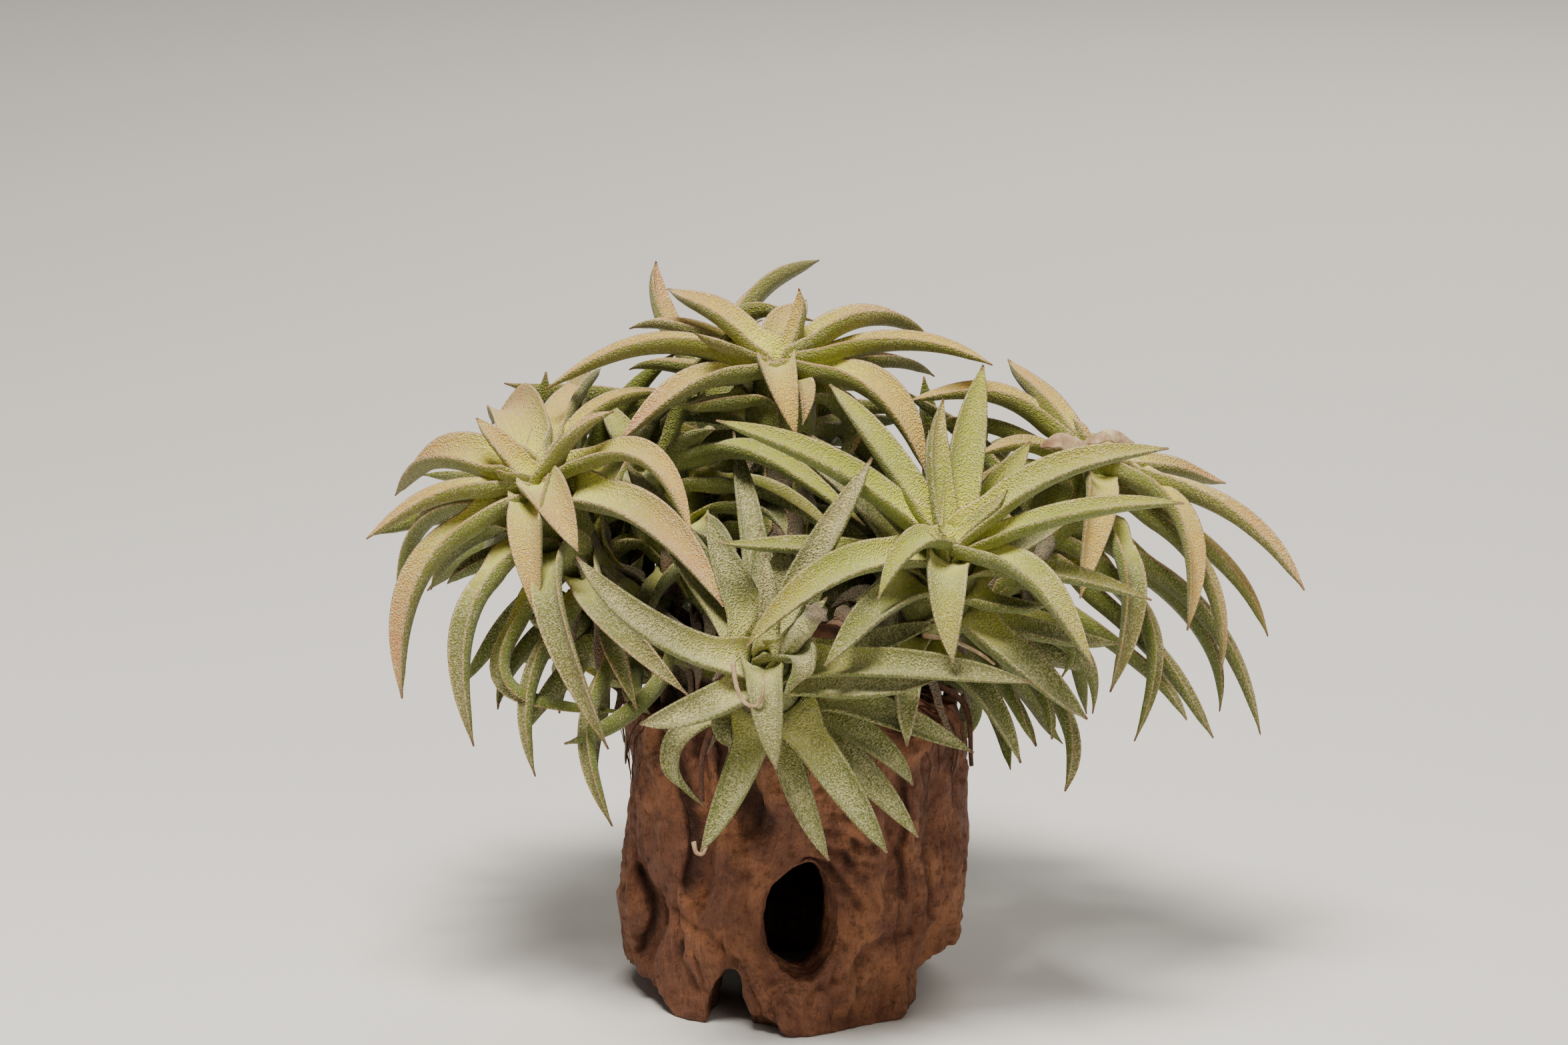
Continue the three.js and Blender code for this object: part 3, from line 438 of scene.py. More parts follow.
GOLDEN = 0.618034
FIRST_TURN = 0.3
OLDEST_DEPTH = 12
YOUNGEST_DEPTH = 2

# Grown leaves open and hang by angles from the way up the stem, in degrees: the youngest leaf's,
# how much more the oldest has, and how far each is drawn off that.
OPENING = (20, 55, 6)
HANGING = (50, 85, 12)

# Shares of their length: how it is drawn, and how it goes to their bend and on to their end. Their
# width when young, how much they widen as they grow, and how much they shrink with age. The share
# of the stem, from the heart down, on which they grow.
GROWN_LENGTHS = (0.9, 1.08)
BEND_REACH, END_REACH = 0.48, 0.6
YOUNG_WIDTH, WIDENING, SHRINKING = 3.6, 2, 1.2
OLDEST_SHARE = 0.55


def leaf_from(index, stem, depth, shown, width, age, curve):
    """One leaf of the head with that index."""
    share = root_share(stem, depth)
    up = heading(stem, share)
    out = (curve[2] + curve[1]) / 2 - curve[0]
    out = unit(out - up * dot(out, up))
    return {
        "head": index,
        "root": share,
        "depth": depth,
        "shown": shown,
        "width": width,
        "age": age,
        "curve": curve,
        "home": curve[2].copy(),
        "across": np.cross(up, out),
    }


def shown_leaf(index, stem, row):
    """A leaf that the photograph shows, from its row in the table."""
    tip, crest, (width, depth) = seen(*row[0:3]), seen(*row[3:6]), row[6:8]
    start = along(stem, root_share(stem, depth))
    curve = np.array([start, bend_through(start, crest, tip), tip])
    return leaf_from(index, stem, depth, True, width, min(1.0, depth / OLDEST_DEPTH), curve)


def grown_angle(rule, age, draws):
    young, more, spread = rule
    return math.radians(young + more * age + draws.between(-spread, spread))


def grown_leaf(index, stem, k, draws):
    """Leaf k of those that grow by rule round a head's stem."""
    count, youngest, low, high, longest = HEADS[index]["grown"]
    age = youngest + (1 - youngest) * (k + 0.5) / count
    turn = math.radians(low + (high - low) * ((k * GOLDEN + FIRST_TURN) % 1))
    opening = grown_angle(OPENING, age, draws)
    hanging = grown_angle(HANGING, age, draws)
    grown = min(1, 2 * age)
    size = longest * (0.5 + 0.5 * grown) * draws.between(*GROWN_LENGTHS)
    depth = YOUNGEST_DEPTH + OLDEST_SHARE * (stem_length(stem) - YOUNGEST_DEPTH) * age * age
    width = YOUNG_WIDTH + WIDENING * grown - SHRINKING * age * age
    share = root_share(stem, depth)
    up, right, back = round_stem(stem, share)
    out = right * math.cos(turn) + back * math.sin(turn)
    start = along(stem, share)
    bend = start + BEND_REACH * size * (up * math.cos(opening) + out * math.sin(opening))
    end = bend + END_REACH * size * (up * math.cos(hanging) + out * math.sin(hanging))
    return leaf_from(index, stem, depth, False, width, age, np.array([start, bend, end]))


def planned_leaves(stems):
    draws = Draws(GROWTH_SEED)
    leaves = []
    for index, (head, stem) in enumerate(zip(HEADS, stems)):
        leaves += [shown_leaf(index, stem, row) for row in head["shown"]]
        leaves += [grown_leaf(index, stem, k, draws) for k in range(head["grown"][0])]
    return leaves


# A blade's full width as a share of the leaf's, where its neck ends and how narrow that starts, and
# how much thinner it is at the tip.
FULLNESS = 1.12
NECK_SHARE, NECK_WIDTH = 0.3, 0.45
TIP_THINNING = 0.4


def blade_width(width, share):
    neck = NECK_WIDTH + (1 - NECK_WIDTH) * np.minimum(1, share / NECK_SHARE)
    return FULLNESS * width * (1 - share**4) * neck


def blade_thickness(share):
    return BLADE_THICKNESS * (1 - TIP_THINNING * share)


# Leaves of different heads are bent clear of each other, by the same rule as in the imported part.
ROUNDS = 90
PROBES = 14
FIRST_PROBE = 0.14
FIRST_STEM_PROBE = 0.15
PROBE_SWELL = 0.25
PROBE_REACH = 9.0
BENDING_ROOM, COUNTING_ROOM = 4.0, 4.5
LEAF_PUSH, WOOD_PUSH, LONGEST_PUSH = 0.5, 0.3, 2.0
WOOD_CLEAR_RADIUS = 30.0
CROWN_CLEAR_RADIUS = 19.0
LEAST_ROOM = 0.1
FARTHEST_BEND = 9.0
TURN_TO_FRONT = 0.45


class Probes:
    """Rows of probes along leaves or stems, with the head of each row.

    Each probe has its place, its half sizes sideways and upward, and its round radius.
    """

    def __init__(self, heads, place, side, face, around):
        self.fields = heads, place, side, face, around
        self.heads, self.place, self.side, self.face, self.around = self.fields
        self.low, self.high = place.min(1), place.max(1)

    def pick(self, rows):
        return Probes(*(field[rows] for field in self.fields))


def blade_frame(ahead, across, shown, share):
    """The ways across a blade and up from its face. A shown one turns a little to the front."""
    side = unit(across - ahead * dot(across, ahead)[..., None])
    face = np.cross(ahead, side)
    face = face - SIGHT * (TURN_TO_FRONT * shown * share)[..., None]
    face = unit(face - ahead * dot(face, ahead)[..., None])
    return np.cross(face, ahead), face


def probe_shares(first):
    return first + (1 - first) * np.arange(PROBES) / (PROBES - 1)


def leaf_probes(curves, across, widths, heads, shown):
    share = probe_shares(FIRST_PROBE)
    place, ahead = along(curves, share), heading(curves, share)
    side, face = blade_frame(ahead, across[:, None, :], shown[:, None], share)
    side = side * (0.5 * blade_width(widths[:, None], share))[..., None]
    face = face * (0.5 * blade_thickness(share) + PROBE_SWELL)[:, None]
    return share, Probes(heads, place, side, face, np.zeros(place.shape[:2]))


def stem_probes(stems):
    share = probe_shares(FIRST_STEM_PROBE)
    place = np.array([along(stem, share) for stem in stems])
    around = np.array([stem_radius(stem, share) for stem in stems])
    none = np.zeros_like(place)
    return Probes(np.arange(len(stems)), place, none, none, around)


def tightest(a, b):
    """For each pair of rows, how short of room its tightest probes are, the way apart, and which."""
    way = a.place[:, :, None] - b.place[:, None]
    gap = np.linalg.norm(way, axis=-1)
    way /= np.maximum(gap, 1e-6)[..., None]
    reach_a = np.hypot(
        np.einsum("pki,pkqi->pkq", a.side, way), np.einsum("pki,pkqi->pkq", a.face, way)
    )
    reach_b = np.hypot(
        np.einsum("pqi,pkqi->pkq", b.side, way), np.einsum("pqi,pkqi->pkq", b.face, way)
    )
    reach = reach_a + a.around[:, :, None] + reach_b + b.around[:, None]
    short = np.where(gap > PROBE_REACH, -1.0, reach + BLADE_CLEARANCE - gap)
    rows = np.arange(len(short))
    best = short.reshape(len(short), -1).argmax(1)
    p, q = best // PROBES, best % PROBES
    return short[rows, p, q], way[rows, p, q], p, q


def near_pairs(a, b, room):
    """Rows of a and b of different heads whose boxes, widened by the room, meet."""
    meet = (a.low[:, None] - room <= b.high[None] + room).all(-1)
    meet &= (b.low[None] - room <= a.high[:, None] + room).all(-1)
    meet &= a.heads[:, None] != b.heads[None]
    if a is b:
        meet = np.triu(meet, 1)
    return np.nonzero(meet)


def crowded_pairs(a, b, room, least=0.0):
    """Both rows of each pair that is short of room, and what tightest says of it."""
    i, j = near_pairs(a, b, room)
    found = (i, j, *tightest(a.pick(i), b.pick(j)))
    some = found[2] > least
    return [values[some] for values in found]


def along_sight(way):
    """The ways, turned to or from the viewer, so that a shown leaf stays where it is seen."""
    return SIGHT * np.where(dot(way, SIGHT) < 0, -1.0, 1.0)[:, None]


def push(shifts, rows, share, way, distance):
    """Moves the curves' bends and ends so that the places at those shares go that way."""
    bend_part = 2 * share * (1 - share)
    tip_part = share * share
    scale = distance / (bend_part**2 + tip_part**2)
    np.add.at(shifts, (rows, 0), way * (bend_part * scale)[:, None])
    np.add.at(shifts, (rows, 1), way * (tip_part * scale)[:, None])


def keep_off_wood(shifts, probes, share, shown):
    place = probes.place
    flat = place * (1, 1, 0)
    radius = np.maximum(np.linalg.norm(flat, axis=-1), 1e-6)
    short = WOOD_CLEAR_RADIUS + 1 - radius
    rows, k = np.nonzero((place[..., 2] < WOOD_TOP + 1) & (short > 0))
    way = flat[rows, k] / radius[rows, k][:, None]
    way = np.where(shown[rows][:, None], along_sight(way), way)
    push(shifts, rows, share[k], way, WOOD_PUSH * short[rows, k])
    above = place - (0, 0, WOOD_TOP)
    high = np.maximum(np.linalg.norm(above, axis=-1), 1e-6)
    rows, k = np.nonzero((place[..., 2] >= WOOD_TOP + 1) & (high < CROWN_CLEAR_RADIUS))
    way = above[rows, k] / high[rows, k][:, None]
    push(shifts, rows, share[k], way, WOOD_PUSH * (CROWN_CLEAR_RADIUS - high[rows, k]))


def gathered(leaves):
    """Arrays of the leaves' curves, ways across, widths, heads and whether they are shown."""
    keys = ("curve", "across", "width", "head", "shown")
    return [np.array([leaf[key] for leaf in leaves]) for key in keys]


def bend_clear(leaves, stems):
    curves, across, widths, heads, shown = gathered(leaves)
    cores = stem_probes(stems)
    for _ in range(ROUNDS):
        share, probes = leaf_probes(curves, across, widths, heads, shown)
        shifts = np.zeros((len(leaves), 2, 3))
        i, j, short, way, p, q = crowded_pairs(probes, probes, BENDING_ROOM)
        alike = shown[i] == shown[j]
        way = np.where((alike & shown[i])[:, None], along_sight(way), way)
        first = np.where(alike, 0.5, np.where(shown[i], 0.0, 1.0))
        push(shifts, i, share[p], way, LEAF_PUSH * first * short)
        push(shifts, j, share[q], way, -LEAF_PUSH * (1 - first) * short)
        i, _, short, way, p, _ = crowded_pairs(probes, cores, BENDING_ROOM)
        way = np.where(shown[i][:, None], along_sight(way), way)
        push(shifts, i, share[p], way, LEAF_PUSH * short)
        keep_off_wood(shifts, probes, share, shown)
        size = np.linalg.norm(shifts, axis=-1, keepdims=True)
        curves[:, 1:] += shifts / np.maximum(size, 1e-9) * np.minimum(size, LONGEST_PUSH)
    for leaf, curve in zip(leaves, curves):
        leaf["curve"] = curve


def with_room(leaves, stems):
    """The leaves without the grown ones that find no room, or only far from where they belong."""
    ordered = sorted(leaves, key=lambda leaf: not leaf["shown"])
    curves, across, widths, heads, shown = gathered(ordered)
    moved = curves[:, 2] - np.array([leaf["home"] for leaf in ordered])
    lost = np.linalg.norm(moved, axis=1) > FARTHEST_BEND
    _, probes = leaf_probes(curves, across, widths, heads, shown)
    lost[crowded_pairs(probes, stem_probes(stems), COUNTING_ROOM, LEAST_ROOM)[0]] = True
    rivals = [set() for _ in ordered]
    for first, second in zip(*crowded_pairs(probes, probes, COUNTING_ROOM, LEAST_ROOM)[:2]):
        rivals[second].add(first)
    kept = set()
    for k in range(len(ordered)):
        if shown[k] or not (lost[k] or rivals[k] & kept):
            kept.add(k)
    return [ordered[k] for k in sorted(kept)]


# Noise and mesh helpers.


def noise(points, size, salt=0):
    """Smooth noise from -1 to 1 at points in millimetres, in patches of that size."""
    cells = points / size
    low = np.floor(cells).astype(np.int64)
    part = soft_step(cells - low)
    total = np.zeros(points.shape[:-1])
    for corner in itertools.product((0, 1), repeat=3):
        x, y, z = np.moveaxis(low + corner, -1, 0)
        mixed = (x * 374761393 + y * 668265263 + z * 1103515245 + salt * 974634777) & 0xFFFFFFFF
        mixed = ((mixed ^ (mixed >> 13)) * 1274126177) & 0xFFFFFFFF
        value = ((mixed ^ (mixed >> 16)) & 0xFFFF) / 32767.5 - 1
        weight = np.where(corner, part, 1 - part).prod(-1)
        total += value * weight
    return total


def rough(points, layers):
    """The sum of layers of noise, each given by its strength, its size and its salt."""
    return sum(strength * noise(points, size, salt) for strength, size, salt in layers)


def strayed(points, far, size, salt, axes=3):
    """How far each point strays along each axis."""
    return far * np.stack([noise(points, size, salt + axis) for axis in range(axes)], 1)


def ease(values):
    """Draws each value but the first and the last towards its neighbours."""
    values[1:-1] = 0.25 * values[:-2] + 0.5 * values[1:-1] + 0.25 * values[2:]


def add_to_scene(name, data):
    thing = bpy.data.objects.new(name, data)
    bpy.context.scene.collection.objects.link(thing)
    return thing


def new_object(name, vertices, faces, attributes):
    """A smooth mesh object from vertices in millimetres round the wood's axis."""
    mesh = bpy.data.meshes.new(name)
    mesh.from_pydata((np.asarray(vertices) + WOOD_AXIS) * MM, [], faces)
    mesh.polygons.foreach_set("use_smooth", np.ones(len(mesh.polygons), bool))
    set_attributes(mesh, attributes)
    mesh.validate()
    return add_to_scene(name, mesh)


def set_attributes(mesh, attributes):
    for key, values in attributes.items():
        values = np.asarray(values, np.float32)
        kind, field = ("FLOAT", "value") if values.ndim == 1 else ("FLOAT_VECTOR", "vector")
        layer = mesh.attributes.new(key, kind, "POINT")
        layer.data.foreach_set(field, values.ravel())


def places_of(piece):
    """The piece's vertices in millimetres round the wood's axis, and their normals."""
    count = len(piece.data.vertices)
    places, normals = np.zeros(count * 3), np.zeros(count * 3)
    piece.data.vertices.foreach_get("co", places)
    piece.data.vertices.foreach_get("normal", normals)
    return places.reshape(-1, 3) / MM - WOOD_AXIS, normals.reshape(-1, 3)


def move_places(piece, places):
    piece.data.vertices.foreach_set("co", ((places + WOOD_AXIS) * MM).ravel())
    piece.data.update()


def bake(piece):
    """Turns the piece's modifiers into its mesh."""
    depsgraph = bpy.context.evaluated_depsgraph_get()
    made = bpy.data.meshes.new_from_object(piece.evaluated_get(depsgraph))
    old = piece.data
    piece.modifiers.clear()
    piece.data = made
    bpy.data.meshes.remove(old)


def finish_piece(piece, material, slot, *nodes):
    """Gives a piece its material and says what it rides on and the nodes it replaces. The slot is
    not used.
    """
    piece.data.materials.clear()
    piece.data.materials.append(material)
    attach(piece, BODY)
    if nodes:
        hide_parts(*nodes)


def ring_faces(rings, sides, start):
    """Quads between rings of a tube whose vertices begin at start, and fans to two end points."""
    rows = np.arange(rings - 1)[:, None] * sides + start
    here = np.arange(sides)[None]
    beside = (here + 1) % sides
    quads = np.stack([rows + here, rows + beside, rows + sides + beside, rows + sides + here], -1)
    faces = quads.reshape(-1, 4).tolist()
    first, last = start + rings * sides, start + rings * sides + 1
    end = start + (rings - 1) * sides
    faces += [[first, start + (k + 1) % sides, start + k] for k in range(sides)]
    faces += [[last, end + k, end + (k + 1) % sides] for k in range(sides)]
    return faces


class Body:
    """Collects closed tubes into one mesh, with the attributes that it was given keys for."""

    def __init__(self, *keys):
        self.vertices, self.faces, self.count = [], [], 0
        self.data = {key: [] for key in keys}

    def add(self, rings, **values):
        """Adds a tube from an array of rings by sides by 3, with values by ring and side."""
        count, sides = rings.shape[:2]
        self.faces += ring_faces(count, sides, self.count)
        ends = np.array([rings[0].mean(0), rings[-1].mean(0)])
        self.vertices.append(np.concatenate([rings.reshape(-1, 3), ends]))
        for key, value in values.items():
            value = np.broadcast_to(value, rings.shape[:2])
            self.data[key].append(np.concatenate([value.ravel(), value[[0, -1]].mean(1)]))
        self.count += count * sides + 2

    def made(self, name):
        data = {key: np.concatenate(values) for key, values in self.data.items()}
        return new_object(name, np.concatenate(self.vertices), self.faces, data)


def made_form(name, rings):
    """One closed tube as an object."""
    body = Body()
    body.add(rings)
    return body.made(name)


def resampled(line, values, count, rounds):
    """The line at even steps and smoothed, with the values that go along with it."""
    steps = np.linalg.norm(np.diff(line, axis=0), axis=1)
    lengths = np.concatenate([[0], np.cumsum(steps)])
    even = np.linspace(0, lengths[-1], count)
    line = np.stack([np.interp(even, lengths, line[:, k]) for k in range(3)], 1)
    for _ in range(rounds):
        ease(line)
    return line, np.interp(even, lengths, values)


def smooth_path(points, count):
    """A smooth line through the points."""
    points = np.array(points, float)
    ends = np.concatenate([[2 * points[0] - points[1]], points, [2 * points[-1] - points[-2]]])
    share = np.linspace(0, len(points) - 1 - 1e-6, count)
    k = share.astype(int)
    t = (share - k)[:, None]
    a, b, c, d = ends[k], ends[k + 1], ends[k + 2], ends[k + 3]
    return 0.5 * (
        2 * b + (c - a) * t + (2 * a - 5 * b + 4 * c - d) * t**2 + (3 * b - a - 3 * c + d) * t**3
    )


def view_path(points, count):
    """A smooth line through points of the front view."""
    return smooth_path([seen(*point) for point in points], count)


def turned(side, over, angles):
    """Two ways out from a line, turned about it by an angle at each step."""
    cos, sin = np.cos(angles)[:, None], np.sin(angles)[:, None]
    return side * cos + over * sin, over * cos - side * sin


# Any way that no tube starts along.
TUBE_SIDE = (0.3, 0.2, 0.93)


def tube_rings(line, radii, sides, flat=1.0, spin=0.0, cup=0.0):
    """A tube along a line, which may be flattened, twisted by an angle and cupped like a gutter."""
    ahead = unit(np.gradient(line, axis=0))
    side = np.cross(ahead[0], TUBE_SIDE)
    carried = []
    for way in ahead:
        side = unit(side - way * (side @ way))
        carried.append(side)
    side = np.array(carried)
    side, over = turned(side, np.cross(ahead, side), np.linspace(0, spin, len(line)))
    turn = round_turns(sides)
    rise = flat * np.sin(turn) + cup * np.cos(turn) ** 2
    radii = np.asarray(radii, float)[:, None, None]
    rings = side[:, None] * np.cos(turn)[:, None] + over[:, None] * rise[:, None]
    return line[:, None] + rings * radii


# Leaves and stems.

STEM_START = 0.02
LEAF_STEPS = 34
LEAF_SIDES = 16
CURVE_STEPS, AXIS_STEPS, FINE_STEPS = 80, 70, 90
LINE_ROUNDS = 10

# How close a leaf clasps the stem: the youngest leaf's share of the stem's radius, and how much
# that grows for each millimetre below the heart.
YOUNG_WRAP, WRAP_BY_DEPTH = 0.5, 0.055
SHEATH_LENGTH = 7.0
SHEATH_STEPS = 9
SHEATH_MARGIN = 0.2
SHEATH_STOP = 0.8
HEART_STOP = 4
LEAVE_GAP = 0.1
LONGEST_HIDDEN = 0.42

# The least share of the stem that a sheath climbs. The sheath takes shares of the blade from below
# nought up to just under the one at which the leaf leaves the stem.
LEAST_CLIMB = 0.02
SHEATH_SHARE, SHARE_GAP = -0.25, 0.02


def sheath_line(leaf, stem, rise, out, wrap):
    """The line by which a leaf clasps the stem, up to the share where it leaves it."""
    length = stem_length(stem)
    low = max(STEM_START, leaf["root"] - SHEATH_LENGTH / length)
    high = max(low + LEAST_CLIMB, rise - SHEATH_STOP / length)
    climb = np.linspace(low, high, SHEATH_STEPS)
    ups = heading(stem, climb)
    outs = unit(out - ups * dot(out, ups)[:, None])
    reach = wrap * stem_radius(stem, np.minimum(climb, 1 - HEART_STOP / length))
    return along(stem, climb) + outs * reach[:, None]


def leaf_line(leaf, stem):
    """The middle line of a leaf and its sheath.

    With it come the share of the blade at each step, the share at which the leaf leaves the stem,
    and the sheath's distance from the stem's middle.
    """
    share = np.linspace(0, 1, CURVE_STEPS)
    line = along(leaf["curve"], share)
    rises = np.linspace(STEM_START, 1, AXIS_STEPS)
    axis = along(stem, rises)
    around = stem_radius(stem, rises)
    gaps = np.linalg.norm(line[:, None] - axis[None], axis=-1)
    nearest = gaps.argmin(1)
    wrap = min(1.0, YOUNG_WRAP + WRAP_BY_DEPTH * leaf["depth"])
    inside = (gaps.min(1) < wrap * around[nearest] + LEAVE_GAP) & (share < LONGEST_HIDDEN)
    leave = int(np.nonzero(inside)[0].max()) + 1 if inside.any() else 1
    at = nearest[leave]
    up = heading(stem, rises[at])
    out = line[leave] - axis[at]
    out = unit(out - up * dot(out, up))
    sheath = sheath_line(leaf, stem, rises[at], out, wrap)
    line = np.concatenate([sheath, line[leave:]])
    below = np.linspace(SHEATH_SHARE, share[leave] - SHARE_GAP, SHEATH_STEPS)
    blade = np.concatenate([below, share[leave:]])
    line, blade = resampled(line, blade, FINE_STEPS, LINE_ROUNDS)
    line, blade = resampled(line, blade, LEAF_STEPS + 1, 0)
    around = wrap * float(stem_radius(stem, leaf["root"])) + SHEATH_MARGIN
    return line, blade, share[leave], around


# How far a blade may twist, in degrees, curl up at its tip and sway aside, and where it opens
# from its sheath and starts to curl, as shares of it.
MOST_TWIST = 20
TIP_CURLS = (-0.9, 1.3)
TIP_SWAY = 0.8
OPENS_WITHIN = 0.2
CURL_START = 0.72

# Half the turn of the arc across a blade, and how far a shown leaf turns its face up, in radians.
TROUGH_TURN = 1.5
LIFT_TO_SKY = 0.42

# Half a blade's width as a share of the leaf's, and at the least, how thick the blade and its sheath
# are, the least radius of the sheath, and how far the section turns at most, in radians.
BLADE_FULLNESS = 0.56
THINNEST_HALF = 0.16
BLADE_THICK, SHEATH_THICK = 1.6, 0.75
LEAST_AROUND = 2.0
MOST_TILT = 2.0

# How much wider the sheath is than the blade, and its half arc: a share of the leaf's width and some
# millimetres more. It widens over its first steps from a share of that arc.
SHEATH_WIDENING = 0.1
SHEATH_ARC, SHEATH_ARC_MORE = 0.8, 1.2
WIDENING_STEPS, FIRST_WIDTH = 5, 0.35

# How much thinner the leaf is at its tip, and the half width below which it thins with its width.
END_THINNING, THIN_BELOW = 0.5, 0.9

# Powers and a share that round off the section, and thin it towards its rims.
RIM_POWER, FACE_POWER = 0.9, 0.8
RIM_THINNING = 0.25


def trough_rings(line, side, face, arc, bend, sink, thick, x, z):
    """Rings of a section that is bent into an arc, with rounded rims.

    At each step of the line: half the arc, how sharply it bends, how far it is sunk and how thick
    it is. Round the section: x from rim to rim and z from the back to the face.
    """
    tilt = np.clip(x[None] * (arc * bend)[:, None], -MOST_TILT, MOST_TILT)
    radius = (1 / bend)[:, None]
    aside, rise = radius * np.sin(tilt), radius * (1 - np.cos(tilt)) - sink[:, None]
    lift = 0.5 * thick[:, None] * (np.sign(z) * np.abs(z) ** FACE_POWER)[None]
    lift = lift * (1 - RIM_THINNING * np.abs(x) ** 3)[None]
    return (
        line[:, None]
        + side[:, None] * (aside - np.sin(tilt) * lift)[..., None]
        + face[:, None] * (rise + np.cos(tilt) * lift)[..., None]
    )


def add_leaf(body, leaf, stem, draws):
    line, blade, leave, around = leaf_line(leaf, stem)
    ahead = unit(np.gradient(line, axis=0))
    side, face = blade_frame(ahead, leaf["across"], leaf["shown"], np.clip(blade, 0, 1))
    free = soft_step(np.clip((blade - leave) / OPENS_WITHIN, 0, 1))
    reach = np.clip((blade - leave) / (1 - leave), 0, 1)
    twist = math.radians(draws.between(-MOST_TWIST, MOST_TWIST)) * reach**1.5
    if leaf["shown"]:
        twist = twist - LIFT_TO_SKY * dot(side, SIGHT) * free
    side, face = turned(side, face, twist)
    curl = draws.between(*TIP_CURLS) * np.clip((reach - CURL_START) / (1 - CURL_START), 0, 1) ** 2
    sway = draws.between(-TIP_SWAY, TIP_SWAY) * reach**3
    line = line + face * curl[:, None] + side * sway[:, None]
    taper = 1 - np.clip(blade, 0, 1) ** 4
    half = BLADE_FULLNESS * leaf["width"] * taper * (1 + SHEATH_WIDENING * (1 - free))
    half = np.maximum(half, THINNEST_HALF)
    arc_blade = half * TROUGH_TURN / math.sin(TROUGH_TURN)
    arc_sheath = np.full_like(half, SHEATH_ARC * leaf["width"] + SHEATH_ARC_MORE)
    bottom = np.clip(np.arange(len(line)) / WIDENING_STEPS, FIRST_WIDTH, 1)
    arc = (arc_blade * free + arc_sheath * (1 - free)) * bottom
    bend = (TROUGH_TURN / arc_blade) * free + (1 / max(around, LEAST_AROUND)) * (1 - free)
    sink = 0.5 * half * math.tan(0.5 * TROUGH_TURN) * free
    thick = (BLADE_THICK * free + SHEATH_THICK * (1 - free)) * (1 - END_THINNING * reach)
    thick = thick * np.minimum(1, half / THIN_BELOW)
    turn = round_turns(LEAF_SIDES)
    x, z = np.cos(turn), np.sin(turn)
    x = np.sign(x) * np.abs(x) ** RIM_POWER
    body.add(
        trough_rings(line, side, face, arc, bend, sink, thick, x, z),
        along=reach[:, None],
        aside=np.abs(x)[None],
        # over marks the face side; the backs get painted shade from it.
        over=np.clip(z, 0, 1)[None],
        ribs=(x * 0.5 + 0.5)[None],
        tone=draws.between(0, 1),
        age=leaf["age"],
        dry=0.0,
    )


# A stem is thin under its living leaves, down to a depth below the heart, and dries from another on.
# Its bumps are layers of noise: strength, size in millimetres and salt.
STEM_RINGS, STEM_SIDES = 26, 22
LEAFY_DEPTH = 12
LEAFY_SHARE, BARE_SHARE = 0.62, 0.95
DRY_DEPTH, DRY_WITHIN = 9, 7
THINNEST_STEM = 0.3
STEM_ROUNDS = 3
STEM_BUMPS = ((0.25, 1.6, 5),)


def add_stem(body, stem):
    share = np.linspace(STEM_START, 1, STEM_RINGS)
    _, right, back = round_stem(stem, share)
    middle = along(stem, share)
    below = (1 - share) * stem_length(stem)
    radius = stem_radius(stem, share) * np.where(below < LEAFY_DEPTH, LEAFY_SHARE, BARE_SHARE)
    for _ in range(STEM_ROUNDS):
        ease(radius)
    radius = np.maximum(radius, THINNEST_STEM)
    turn = round_turns(STEM_SIDES)
    rings = (
        middle[:, None]
        + right[:, None] * (radius[:, None] * np.cos(turn))[..., None]
        + back[:, None] * (radius[:, None] * np.sin(turn))[..., None]
    )
    rings += rough(rings, STEM_BUMPS)[..., None] * unit(rings - middle[:, None])
    dry = np.clip((below - DRY_DEPTH) / DRY_WITHIN, 0, 1)[:, None]
    body.add(rings, along=0.45, aside=0.5, over=0.0, ribs=0.5, tone=0.4, age=1.0, dry=dry)


# Withered leaves: how far up the stem, how long, how steeply and how far out they hang, and how
# thick they are.
WITHERED_RISES = (0.06, 0.74)
WITHERED_SIZES = (6, 13)
WITHERED_DROPS = (0.35, 0.9)
WITHERED_REACHES = (0.45, 0.75)
WITHERED_RADII = (1.5, 2.3)
WITHERED_SPIN = 1.6
WITHERED_STEPS, WITHERED_SIDES = 18, 10


def add_withered(body, stem, count, draws):
    """Shrunken old leaves that hang round a stem below its living ones."""
    for _ in range(count):
        share = draws.between(*WITHERED_RISES)
        turn = draws.between(0, 2 * math.pi)
        size = draws.between(*WITHERED_SIZES)
        up, right, back = round_stem(stem, share)
        out = right * math.cos(turn) + back * math.sin(turn)
        start = along(stem, share)
        rim = start + out * (0.6 * float(stem_radius(stem, share)))
        drop = np.array([0.0, 0.0, -draws.between(*WITHERED_DROPS)])
        points = [start, rim + up * 2.5, rim + out * 0.4 * size + 0.3 * size * drop]
        points.append(rim + out * draws.between(*WITHERED_REACHES) * size + size * drop)
        line = smooth_path(points, WITHERED_STEPS)
        line += strayed(line, 0.7, 4.1, 50)
        place = np.linspace(0, 1, WITHERED_STEPS)
        radii = np.interp(place, (0, 0.3, 0.75, 1), (0.9, 1, 0.6, 0.12))
        radii = draws.between(*WITHERED_RADII) * radii
        spin = draws.between(-WITHERED_SPIN, WITHERED_SPIN)
        body.add(
            tube_rings(line, radii, WITHERED_SIDES, 0.22, spin, 0.55),
            along=place[:, None],
            aside=0.5,
            over=0.5,
            ribs=np.linspace(0, 1, WITHERED_SIDES)[None],
            tone=draws.between(0, 1),
            age=1.0,
            dry=1.0,
        )


# The driftwood.

